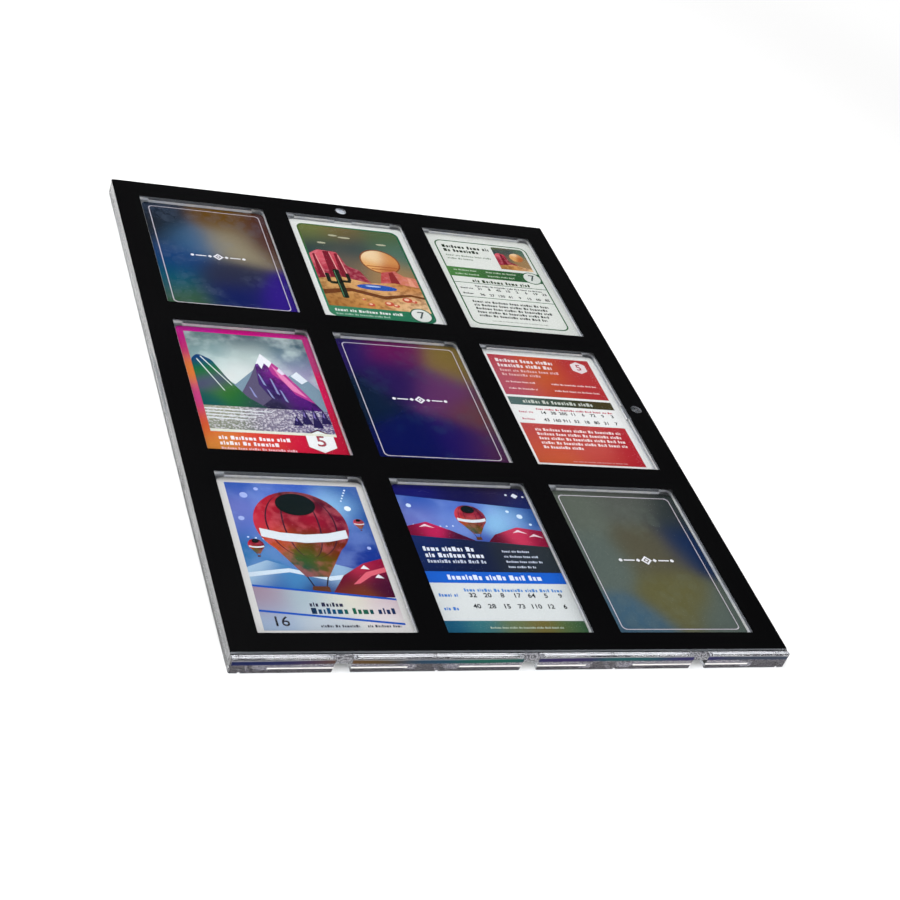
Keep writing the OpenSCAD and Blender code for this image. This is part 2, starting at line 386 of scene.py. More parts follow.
def rail_look(tree, place):
    """Tint and clearness of the tray, with a painted rainbow reflection and a painted highlight
    line in the rail's face, and painted shade on the tray's top.
    """
    spot = axes(tree, place)
    outer = remap(tree, spot["Y"], CAD_LOW.y + 0.1 * MM, CAD_LOW.y + 0.3 * MM, 1.0, 0.0)
    below = remap(tree, spot["Z"], RAINBOW_REFLECTION_MIDDLE * MM, (RAINBOW_REFLECTION_MIDDLE + 0.8) * MM, 1.0, 0.0)
    face = calc(tree, "MULTIPLY", outer, below)
    # The band is a painted rainbow reflection, which also makes the face less clear
    middle = remap(
        tree, noise(tree, place, 14.0, 1.0), 0.3, 0.7,
        (RAINBOW_REFLECTION_MIDDLE - RAINBOW_REFLECTION_WANDER) * MM, (RAINBOW_REFLECTION_MIDDLE + RAINBOW_REFLECTION_WANDER) * MM)
    band = near(tree, spot["Z"], middle, RAINBOW_REFLECTION_CORE * MM, RAINBOW_REFLECTION_REACH * MM)
    cover = calc(tree, "MULTIPLY", band, outer)
    line = calc(tree, "MULTIPLY", painted_foot_highlight(tree, spot), outer)
    lower = mottled(tree, noise(tree, place, 1200.0, 3.0), 0.4, 0.6, "#342c44", "#b8b0bc")
    # Painted highlight: the bright upper edge of the pockets' bottom wall, as a near-white line in
    # the rail's face
    lower = mix_colour(tree, line, lower, opaque("#fbf8f4"))
    # Painted shade: a grey tint at the tray's top, which darkens what is seen through it
    top = near(tree, spot["Z"], case_settings().tray_top, 0.03 * MM, 0.08 * MM)
    tint = mix_colour(tree, top, lined_sides(tree, place)[0], opaque("#a4a6aa"))
    rail = mix_colour(tree, face, tint, lower)
    # Colours of the painted rainbow reflection along the rail's face
    points = [(x, CAD_LOW.y / MM, code) for x, code in RAINBOW_REFLECTION_COLOURS]
    colours = blend(tree, place, Vector((0, 0, 0)), points, RAINBOW_REFLECTION_HOLD)
    solid = calc(tree, "MAXIMUM", cover, line)
    solid = calc(tree, "MAXIMUM", solid, calc(tree, "MULTIPLY", face, RAIL_HAZE))
    return mix_colour(tree, cover, rail, colours), calc(tree, "SUBTRACT", 1.0, solid)


def pocket_wall_acrylic():
    """The pockets' upright walls, which catch the light."""
    material, tree, place = new_finish("pocket_walls")
    streaks = noise(tree, place, 220.0)
    tint = mottled(tree, streaks, 0.35, 0.65, "#fffdf8", "#e8eaee")
    acrylic(tree, tint, remap(tree, streaks, 0.3, 0.7, 0.25, 0.4), 0.05, {})
    return material


def frosted_acrylic():
    """The grained acrylic of the hinge tabs, with painted shade along their lower edge."""
    settings = case_settings()
    material, tree, place = new_finish("frosted_tabs")
    grain = noise(tree, place, 1500.0, 3.0)
    tint = mottled(tree, grain, 0.42, 0.58, "#38383e", "#a8a8ae")
    height = axes(tree, place)["Z"]
    # Painted shade along the tabs' lower edge
    foot = remap(tree, height, settings.tab_foot, settings.tab_foot + 0.7 * MM, 0.9, 0.0)
    tint = mix_colour(tree, foot, tint, opaque("#1c1c20"))
    acrylic(tree, tint, settings.frost, 0.15, {"Normal": bump(tree, grain, 0.6, 0.08 * MM)})
    return material


def border_black():
    """Black satin film with a very fine grain."""
    material, tree, place = new_finish("border_black")
    surface(tree, add(tree, "ShaderNodeBsdfPrincipled", {
        "Base Color": opaque(case_settings().border_colour),
        "Roughness": remap(tree, noise(tree, place, 14.0), 0.3, 0.7, 0.2, 0.24),
        "IOR": 1.45,
        "Specular IOR Level": 0.2,
        "Normal": bump(tree, noise(tree, place, 5200.0), 0.08, FINE_GRAIN)}))
    return material


def nickel(name, least_rough, most_rough):
    """Nickel plating with fine scratches and a faint warm and cool mottling."""
    material, tree, place = new_finish(name)
    scratches = noise(tree, place, 4200.0)
    surface(tree, add(tree, "ShaderNodeBsdfPrincipled", {
        "Base Color": mottled(
            tree, noise(tree, place, 700.0), 0.35, 0.65, case_settings().nickel_colour, "#b9c0cc"),
        "Metallic": 1.0,
        "Roughness": remap(tree, scratches, 0.3, 0.7, least_rough, most_rough),
        "Normal": bump(tree, scratches, 0.15, FINE_GRAIN)}))
    return material


# Finishes of the cards

# Noise cells per metre of the drift in a blend
DRIFT_SCALE = 40.0


def gloss_print(tree, place, colour, metallic=0.0):
    """Ink under a gloss varnish, with the faint unevenness of printed stock."""
    grain = noise(tree, place, 3000.0)
    return add(tree, "ShaderNodeBsdfPrincipled", {
        "Base Color": colour,
        "Metallic": metallic,
        "Roughness": remap(tree, grain, 0.3, 0.7, 0.11, 0.17),
        "Specular IOR Level": 0.3,
        "Coat Weight": 0.1,
        "Coat Roughness": 0.08,
        "Normal": bump(tree, grain, 0.05, FINE_GRAIN)})


def printed_grain(tree, place, colour, depth=0.05):
    """The colour, a little darker and lighter from dot to dot."""
    dots = noise(tree, place, 2200.0, 1.0)
    darker = add(tree, "ShaderNodeHueSaturation", {"Color": colour, "Value": 1.0 - depth})
    return mix_colour(
        tree, remap(tree, dots, 0.4, 0.6, 0.0, 1.0), colour, darker.outputs["Color"])


def card_stock():
    """White card stock, as it shows on a card's edges and back."""
    material, tree, place = new_finish("card_stock")
    fibres = noise(tree, place, 900.0, 4.0)
    surface(tree, add(tree, "ShaderNodeBsdfPrincipled", {
        "Base Color": mottled(
            tree, fibres, 0.35, 0.65, card_settings().paper_colour, "#d3d1ca"),
        "Roughness": 0.6,
        "Normal": bump(tree, fibres, 0.2, FINE_GRAIN)}))
    return material


def printed_ink():
    """Flat inks, whose colour the mesh carries in its attribute."""
    material, tree, place = new_finish("printed_ink")
    colour = add(tree, "ShaderNodeAttribute", attribute_name=INK_ATTRIBUTE).outputs["Color"]
    surface(tree, gloss_print(tree, place, printed_grain(tree, place, colour)))
    return material


def blend(tree, place, middle, points, reach, drift=0.0):
    """A soft blend of colours, given as (x, y, colour) in mm from the card's middle.

    A colour holds about as far as the reach, and the drift makes the borders uneven.
    """
    flat = vector_calc(tree, "MULTIPLY", place, (1, 1, 0))
    if drift:
        wander = add(
            tree, "ShaderNodeTexNoise", {"Vector": flat, "Scale": DRIFT_SCALE, "Detail": 1.0})
        flat = vector_calc(
            tree, "MULTIPLY_ADD", wander.outputs["Color"], (drift * MM, drift * MM, 0), flat)
    weights, colours = 0.0, (0, 0, 0)
    for x, y, code in points:
        centre = (middle.x + (x + drift / 2) * MM, middle.y + (y + drift / 2) * MM, 0)
        away = add(tree, "ShaderNodeVectorMath", {0: flat, 1: centre}, operation="DISTANCE")
        steps = calc(tree, "MULTIPLY", away.outputs["Value"], 1 / (reach * MM))
        share = calc(tree, "POWER", math.e, calc(tree, "MULTIPLY", steps, steps))
        share = calc(tree, "DIVIDE", 1.0, share)
        weights = calc(tree, "ADD", share, weights)
        colours = vector_calc(tree, "MULTIPLY_ADD", shade(code), share, colours)
    evened = calc(tree, "DIVIDE", 1.0, weights)
    return add(
        tree, "ShaderNodeVectorMath", {0: colours, "Scale": evened}, operation="SCALE").outputs[0]


def moved(points, x, y, scale=1.0):
    """The points of a blend, scaled and then moved by x and y."""
    return [(x + dx * scale, y + dy * scale, code) for dx, dy, code in points]


def shaded_ink(
        name, middle, points, reach=16.0, drift=3.0,
        cloud=None, cloud_scale=60.0, cloud_share=0.5, metallic=0.0):
    """Ink that changes softly over a card, with an optional cloudy second colour."""
    material, tree, place = new_finish(name)
    colour = blend(tree, place, middle, points, reach, drift)
    if cloud:
        puffs = noise(tree, place, cloud_scale, 4.0)
        cover = remap(tree, puffs, 0.42, 0.68, 0.0, cloud_share)
        colour = mix_colour(tree, cover, colour, opaque(cloud))
    surface(tree, gloss_print(tree, place, printed_grain(tree, place, colour), metallic))
    return material


# Discs in the foil, as (cell size in mm, softness of the rim)
FOIL_DISCS = ((9.0, 0.02), (5.5, 0.05))


def foil(name, middle, points, disc_colour, disc_share):
    """Holographic foil: a painted rainbow sheen in soft colours, with faint overlapping discs and a
    fine sparkle.
    """
    material, tree, place = new_finish(name)
    # The blend is a painted rainbow sheen of the foil
    colour = blend(tree, place, middle, points, 12.0, 5.0)
    for size, blur in FOIL_DISCS:
        cells = add(
            tree, "ShaderNodeTexVoronoi",
            {"Vector": place, "Scale": 1 / (size * MM), "Randomness": 0.85},
            voronoi_dimensions="2D")
        disc = remap(tree, cells.outputs["Distance"], 0.36, 0.36 + blur, 1.0, 0.0)
        chosen = remap(tree, noise(tree, place, 45.0, 0.0), 0.48, 0.6, 0.0, disc_share)
        cover = calc(tree, "MULTIPLY", disc, chosen)
        colour = mix_colour(tree, cover, colour, opaque(disc_colour))
    sparkle = noise(tree, place, 2500.0)
    surface(tree, add(tree, "ShaderNodeBsdfPrincipled", {
        "Base Color": printed_grain(tree, place, colour, 0.12),
        "Metallic": 0.2,
        "Roughness": remap(tree, sparkle, 0.3, 0.7, 0.14, 0.2),
        "Specular IOR Level": 0.3,
        "Coat Weight": 0.1,
        "Coat Roughness": 0.1,
        "Normal": bump(tree, sparkle, 0.1, FINE_GRAIN)}))
    return material


# Pieces

def new_object(bm, name, finishes):
    """Turns a bmesh into an object of the scene."""
    mesh = bpy.data.meshes.new(name)
    bm.to_mesh(mesh)
    bm.free()
    for finish in finishes:
        mesh.materials.append(finish)
    made = bpy.data.objects.new(name, mesh)
    bpy.context.scene.collection.objects.link(made)
    return made


def make_piece(bm, name, node, finishes):
    """Turns a bmesh into a piece that rides on a node's body and stands for that node."""
    piece = new_object(bm, name, finishes)
    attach(piece, frame["nodes"][node]["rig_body"])
    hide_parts(node)


def welded_copy(node):
    """A closed copy of a CAD node, whose flat faces are whole again."""
    bm = bmesh.new()
    bm.from_mesh(frame["nodes"][node].data)
    bmesh.ops.remove_doubles(bm, verts=bm.verts, dist=WELD)
    bmesh.ops.dissolve_limit(bm, angle_limit=FLAT_ANGLE, verts=bm.verts, edges=bm.edges)
    for face in bm.faces:
        face.smooth = False
    return bm


def keep_inside(bm, node):
    """Puts back what the rounding has pushed past the node's box."""
    low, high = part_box(node)
    for vert in bm.verts:
        vert.co = [min(max(vert.co[i], low[i]), high[i]) for i in range(3)]


def round_edges(bm, radius, least_angle=35.0):
    """Rounds every edge at which two faces meet at more than the least angle, in degrees."""
    sharp = [e for e in bm.edges
             if e.is_manifold and e.calc_face_angle() > math.radians(least_angle)]
    bmesh.ops.bevel(
        bm, geom=sharp, offset=radius, offset_type="OFFSET", segments=2, profile=0.5,
        affect="EDGES", clamp_overlap=False, loop_slide=True, material=-1)


# Distance from the case's sides within which no face belongs to a pocket
WALL_DEPTH = 9 * MM
# Distance from the bottom side within which a face belongs to the rail's outer face
RAIL_FACE = 0.2 * MM
# How far a face's normal leans towards an axis that the face counts as looking along
ALONG = 0.9
# Places of the tray's finishes in its list
CLEAR, WALLS, RAIL = range(3)
# Sides of a magnet's circle, and of the rounding on its rims
MAGNET_SIDES = 64
RIM_SIDES = 4


def build_tray():
    bm = welded_copy("base_tray")
    settings = case_settings()
    round_edges(bm, settings.edge_round)
    keep_inside(bm, "base_tray")
    for face in bm.faces:
        middle = face.calc_center_median()
        inner = abs(middle.x) < CAD_HIGH.x - WALL_DEPTH and abs(middle.y) < CAD_HIGH.y - WALL_DEPTH
        upright = (
            abs(face.normal.z) < ALONG and settings.pocket_floor < middle.z < settings.tray_top)
        face.material_index = WALLS if inner and upright else CLEAR
        if face.normal.y < -ALONG and middle.y < CAD_LOW.y + RAIL_FACE:
            face.material_index = RAIL
    make_piece(
        bm, "clear_tray", "base_tray",
        [clear_acrylic("tray_acrylic", rail_look), pocket_wall_acrylic(),
         clear_acrylic("rail_face", rail_look, specular=0.05)])


def build_lid():
    bm = welded_copy("lid_cover")
    lid_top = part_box("border_mask")[0].z
    film_bed = [v for v in bm.verts if abs(v.co.z - lid_top) < WELD]
    bmesh.ops.translate(bm, verts=film_bed, vec=(0, 0, CONTACT))
    round_edges(bm, case_settings().edge_round)
    keep_inside(bm, "lid_cover")
    for face in bm.faces:
        on_tab = face.calc_center_median().y < case_settings().frost_start
        face.material_index = 1 if on_tab else 0
    make_piece(
        bm, "clear_lid", "lid_cover",
        [clear_acrylic("lid_acrylic", lid_look), frosted_acrylic()])


def build_border():
    border = frame["nodes"]["border_mask"]
    border.data.materials.clear()
    border.data.materials.append(border_black())


def build_magnet(node, plating):
    """A disc magnet with rounded rims, just clear of the bottom of its recess."""
    low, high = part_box(node)
    radius = (high.x - low.x) / 2
    height = high.z - low.z - 2 * CONTACT
    bm = bmesh.new()
    bmesh.ops.create_cone(
        bm, cap_ends=True, segments=MAGNET_SIDES, radius1=radius, radius2=radius, depth=height)
    rims = [e for e in bm.edges if e.calc_face_angle() > math.radians(60)]
    bmesh.ops.bevel(
        bm, geom=rims, offset=case_settings().magnet_round, segments=RIM_SIDES, profile=0.5,
        affect="EDGES", material=-1)
    bmesh.ops.translate(bm, verts=bm.verts, vec=(low + high) / 2)
    make_piece(bm, node + "_disc", node, [plating])


# Printing on the cards

INK_ATTRIBUTE = "ink"
# Lengths of the made-up words, in letters
WORD_LENGTHS = (5, 3, 7, 4, 6, 2, 8, 5, 4)
# The bars of a word, as (width in columns, whether it is tall)
BARS = (
    (2, True), (2, False), (3, False), (2, False), (1, True), (2, False), (3, True), (2, False),
    (1, False))
# Width of a column, as a share of the bars' height, and rows of cells in a tall and a short bar
WORD_COLUMN = 0.22
TALL_ROWS = 4
SHORT_ROWS = 3
# Height of a digit, as a share of the type size
DIGIT_HEIGHT = 0.7
# A badge's fill, rim and digits, as shares of its radius, and how bold its digits are
ROUNDEL_FILL = 0.88
HEXAGON_RIM = 1.12
BADGE_DIGITS = 0.95
BADGE_BOLD = 0.02
# Distance between a table's rows, in digit heights, and how bold its numbers are
TABLE_PITCH = 2.6
TABLE_BOLD = 0.04
# Layers of ink that fit between a card's face and its full thickness
INK_LAYERS = 12
# Inset and corner radius of the printed panel on a card's back, in mm
BACK_INSET = 3.0
BACK_CORNER = 2.0


class Card:
    """A card in the making. Its places and sizes are in millimetres from its middle."""

    def __init__(self, node, face, back):
        settings = card_settings()
        self.node = node
        self.low, self.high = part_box(node)
        self.middle = (self.low + self.high) / 2
        self.half_w = (self.high.x - self.low.x) / 2 / MM
        self.half_h = (self.high.y - self.low.y) / 2 / MM
        self.corner = settings.corner / MM
        self.finishes = [FINISHES["card_stock"], FINISHES["printed_ink"]]
        self.step = settings.print_step
        self.print_z = self.high.z - INK_LAYERS * self.step
        self.bm = bmesh.new()
        self.ink = self.bm.loops.layers.float_color.new(INK_ATTRIBUTE)
        self.body(face)
        self.back(back)

    def finish_of(self, finish):
        """The slot of a finish, and its colour for the attribute."""
        if isinstance(finish, str):
            return 1, opaque(finish)
        if finish not in self.finishes:
            self.finishes.append(finish)
        return self.finishes.index(finish), (1.0, 1.0, 1.0, 1.0)

    def take(self, bm, finish, only_top=False):
        """Adds a small mesh that is already in place, in the given finish."""
        bmesh.ops.recalc_face_normals(bm, faces=bm.faces)
        small = bpy.data.meshes.new("small")
        bm.to_mesh(small)
        bm.free()
        before = len(self.bm.faces)
        self.bm.from_mesh(small)
        bpy.data.meshes.remove(small)
        self.bm.faces.ensure_lookup_table()
        slot, colour = self.finish_of(finish)
        for face in self.bm.faces[before:]:
            top = face.normal.z > ALONG
            face.material_index = slot if top or not only_top else 0
            for loop in face.loops:
                loop[self.ink] = colour

    def raise_flat(self, bm, low, high):
        """Gives flat faces a thickness, from low to high in metres, and moves them to the card."""
        raised = bmesh.ops.extrude_face_region(bm, geom=bm.faces[:])["geom"]
        top = [v for v in raised if isinstance(v, bmesh.types.BMVert)]
        bmesh.ops.translate(bm, verts=top, vec=(0, 0, (high - low) / MM))
        bmesh.ops.scale(bm, verts=bm.verts, vec=(MM, MM, MM))
        bmesh.ops.translate(bm, verts=bm.verts, vec=(self.middle.x, self.middle.y, low))

    def press(self, bm, level, finish):
        """Prints flat faces as one layer of ink."""
        self.raise_flat(bm, self.print_z, self.print_z + level * self.step)
        self.take(bm, finish)

    def body(self, face):
        bm = flat_rectangle(-self.half_w, -self.half_h, self.half_w, self.half_h, self.corner)
        self.raise_flat(bm, self.low.z + 2 * CONTACT, self.print_z)
        self.take(bm, face, only_top=True)

    def back(self, colour):
        """A plain printed panel on the underside."""
        half_w = self.half_w - BACK_INSET
        half_h = self.half_h - BACK_INSET
        bm = flat_rectangle(-half_w, -half_h, half_w, half_h, BACK_CORNER)
        self.raise_flat(bm, self.low.z + CONTACT, self.low.z + 2 * CONTACT)
        self.take(bm, colour)

    def rectangle(self, x0, y0, x1, y1, level, finish, corner=0.0):
        self.press(flat_rectangle(x0, y0, x1, y1, corner), level, finish)

    def shape(self, points, level, finish, corner=0.0):
        """A flat shape through a few points, with its corners rounded if wanted."""
        bm = bmesh.new()
        bm.faces.new([bm.verts.new((x, y, 0)) for x, y in points])
        if corner:
            round_corners(bm, corner, 3)
        self.press(bm, level, finish)

    def disc(self, x, y, radius, level, finish, wide=1.0, sides=40):
        bm = bmesh.new()
        bmesh.ops.create_circle(bm, cap_ends=True, segments=sides, radius=radius)
        bmesh.ops.scale(bm, verts=bm.verts, vec=(wide, 1, 1))
        bmesh.ops.translate(bm, verts=bm.verts, vec=(x, y, 0))
        self.press(bm, level, finish)

    def words(self, x, y, length, height, level, finish, start=0):
        """A row of small bars that stands for a line of words, from x rightwards."""
        column = WORD_COLUMN * height
        count = int(length / column)
        used = set()
        at, word = 0, start
        while at < count - 4:
            for letter in range(WORD_LENGTHS[word % len(WORD_LENGTHS)]):
                wide, tall = BARS[(3 * word + letter) % len(BARS)]
                rows = TALL_ROWS if tall else SHORT_ROWS
                used.update((at + i, row) for i in range(wide) for row in range(rows))
                at += wide + 1
            at += 2
            word += 1
        bm = bmesh.new()
        bmesh.ops.create_grid(bm, x_segments=count, y_segments=TALL_ROWS, size=0.5)
        gaps = []
        for face in bm.faces:
            middle = face.calc_center_median()
            cell = int((middle.x + 0.5) * count), int((middle.y + 0.5) * TALL_ROWS)
            if cell not in used:
                gaps.append(face)
        bmesh.ops.delete(bm, geom=gaps, context="FACES")
        bmesh.ops.scale(bm, verts=bm.verts, vec=(count * column, height, 1))
        bmesh.ops.translate(bm, verts=bm.verts, vec=(x + count * column / 2, y, 0))
        self.press(bm, level, finish)

    def lines(self, level, *rows):
        """Rows of words, each as (x, y, length, height, finish, start)."""
        for x, y, length, height, finish, start in rows:
            self.words(x, y, length, height, level, finish, start)

    def digits(self, text, x, y, height, level, finish, bold=0.0):
        """Plain digits, centred on x and y."""
        curve = bpy.data.curves.new("digits", "FONT")
        curve.body = text
        curve.size = height / DIGIT_HEIGHT
        curve.resolution_u = 3
        curve.offset = bold * height
        curve.align_x = "CENTER"
        curve.align_y = "CENTER"
        carrier = bpy.data.objects.new("digits", curve)
        bpy.context.scene.collection.objects.link(carrier)
        outline = bpy.data.meshes.new_from_object(carrier)
        bpy.data.objects.remove(carrier)
        bpy.data.curves.remove(curve)
        bm = bmesh.new()
        bm.from_mesh(outline)
        bpy.data.meshes.remove(outline)
        bmesh.ops.remove_doubles(bm, verts=bm.verts, dist=0.001)
        bmesh.ops.translate(bm, verts=bm.verts, vec=(x, y, 0))
        self.press(bm, level, finish)

    def roundel(self, x, y, radius, text, level, rim, fill, text_colour):
        """A disc with a rim and plain digits in it."""
        self.disc(x, y, radius, level, rim)
        self.disc(x, y, radius * ROUNDEL_FILL, level + 1, fill)
        self.digits(text, x, y, radius * BADGE_DIGITS, level + 2, text_colour, BADGE_BOLD)

    def hexagon(self, x, y, radius, text, level, rim, fill, text_colour):
        """A six-sided badge with a rim and plain digits in it."""
        self.disc(x, y, radius * HEXAGON_RIM, level, rim, sides=6)
        self.disc(x, y, radius, level + 1, fill, sides=6)
        self.digits(text, x, y, radius * BADGE_DIGITS, level + 2, text_colour, BADGE_BOLD)

    def number_table(self, x0, x1, y, rows, height, level, finish):
        """Rows of plain numbers, each row as one text, spread evenly from x0 to x1."""
        for r, row in enumerate(rows):
            numbers = row.split()
            for i, number in enumerate(numbers):
                x = x0 + (x1 - x0) * i / (len(numbers) - 1)
                down = r * TABLE_PITCH * height
                self.digits(number, x, y - down, height, level, finish, TABLE_BOLD)

    def finish(self, name, slot):
        make_piece(self.bm, name, self.node, self.finishes)


def round_corners(bm, radius, segments):
    bmesh.ops.bevel(
        bm, geom=bm.verts[:], offset=radius, offset_type="OFFSET", segments=segments,
        profile=0.5, affect="VERTICES", material=-1)


def flat_rectangle(x0, y0, x1, y1, corner=0.0):
    bm = bmesh.new()
    bmesh.ops.create_grid(bm, x_segments=1, y_segments=1, size=0.5)
    bmesh.ops.scale(bm, verts=bm.verts, vec=(x1 - x0, y1 - y0, 1))
    bmesh.ops.translate(bm, verts=bm.verts, vec=((x0 + x1) / 2, (y0 + y1) / 2, 0))
    if corner:
        round_corners(bm, corner, 8)
    return bm


FINISHES = {}


def shared_finishes():
    """Makes the finishes that all the cards share, once."""
    if not FINISHES:
        FINISHES["card_stock"] = card_stock()
        FINISHES["printed_ink"] = printed_ink()


def node_middle(node):
    low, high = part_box(node)
    return (low + high) / 2


# Foil cards

# Each foil's colour points are a painted rainbow sheen, as (x, y, colour) in mm from the card's
# middle
FOILS = {
    "card_top_left": {
        "points": (
            (-28, 40, "#203044"), (-25, 22, "#140f04"), (6, 34, "#6c4808"), (-12, 14, "#406c94"),
            (8, 15, "#a09478"), (28, 24, "#542c28"), (-22, -4, "#0c3c78"), (-28, -20, "#00586c"),
            (-24, -40, "#3c6040"), (0, -16, "#2c3048"), (2, -34, "#081c60"), (29, -36, "#34188c")),
        "discs": "#7c8ca4",
        "share": 0.06,
    },
    "card_centre_middle": {
        "points": (
            (-29, 38, "#281860"), (-4, 38, "#6c1458"), (27, 32, "#887038"), (-8, 16, "#281458"),
            (-29, 0, "#001c38"), (14, 8, "#683468"), (29, -8, "#6c3c40"), (-12, -30, "#000c54"),
            (14, -30, "#180c60"), (28, -34, "#54284c")),
        "discs": "#2c6074",
        "share": 0.06,
    },
    "card_bottom_right": {
        "points": (
            (-26, 36, "#687064"), (6, 40, "#60645c"), (28, 34, "#343c3c"), (-26, 0, "#647068"),
            (6, 6, "#605c48"), (30, 10, "#0c2c58"), (6, -22, "#6c6840"), (-24, -42, "#48687c"),
            (28, -36, "#606c64")),
        "discs": "#7c8878",
        "share": 0.07,
    },
}
FOIL_LINE = "#d8cfd6"
FOIL_ORNAMENT = "#f0eef0"


def build_foil_card(node, look):
    """A foil card with a thin pale line and a small ornament in its middle."""
    settings = card_settings()
    sheet = foil(
        node.replace("card_", "foil_"), node_middle(node), look["points"],
        look["discs"], look["share"])
    card = Card(node, sheet, "#9a9ca2")
    inset = settings.line_inset / MM
    width = settings.line_width / MM
    for level, edge, finish in ((1, inset, FOIL_LINE), (2, inset + width, sheet)):
        card.rectangle(
            edge - card.half_w, edge - card.half_h, card.half_w - edge, card.half_h - edge,
            level, finish, corner=2.2)
    for x, radius, level, finish, sides in (
            (0, 2.7, 3, FOIL_ORNAMENT, 4), (0, 1.5, 4, sheet, 4), (0, 0.8, 5, FOIL_ORNAMENT, 4),
            (-4.2, 1.1, 3, FOIL_ORNAMENT, 4), (-13, 0.9, 3, FOIL_ORNAMENT, 20),
            (4.2, 1.1, 3, FOIL_ORNAMENT, 4), (13, 0.9, 3, FOIL_ORNAMENT, 20)):
        card.disc(x, 0, radius, level, finish, sides=sides)
    for left, right in ((-11.4, -6), (6, 11.4)):
        card.rectangle(left, -0.35, right, 0.35, 3, FOIL_ORNAMENT)
    card.finish(node.replace("card_", "foil_card_"), "foil_card")


# Desert cards

def desert_inks(card, tag, x, y, scale):
    """The soft colours of the desert picture, which is centred on x and y of this card, with a
    painted sheen along the top of its sky.
    """
    def ink(part, points, reach, **cloud):
        return shaded_ink(
            "desert_" + part + "_" + tag, card.middle, moved(points, x, y, scale),
            reach * scale, 2.0 * scale, **cloud)
    return {
        # The olive and brown along the sky's top are a painted sheen over the print
        "sky": ink("sky", (
            (-22, 36, "#6e763c"), (-4, 38, "#766035"), (18, 36, "#4e6037"), (-20, 20, "#213c45"),
            (0, 22, "#2b454a"), (22, 20, "#4a6e60"), (-10, 6, "#6e604e"), (14, 2, "#9f7d53")), 12),
        "sun": ink("sun", (
            (7, 16, "#f7d8aa"), (16, 4, "#b96937"), (3, 7, "#e5a760"), (18, 14, "#d58f4e")), 6),
        "rock": ink("rock", (
            (-25, 12, "#e26974"), (-18, 8, "#c73c4d"), (-8, 0, "#8f2337"), (10, 0, "#b94545"),
            (23, -4, "#d57d60"), (-25, -4, "#9f283c")), 7,
            cloud="#ee979f", cloud_scale=420.0, cloud_share=0.3),
        "sand": ink("sand", (
            (-20, -12, "#dcaa69"), (0, -14, "#e5b276"), (20, -12, "#c47f40"), (-22, -26, "#a97237"),
            (-4, -24, "#ce8f4a"), (18, -26, "#e8b983"), (26, -30, "#f1ce9f")), 10,
            cloud="#7f451f", cloud_scale=330.0, cloud_share=0.6),
    }


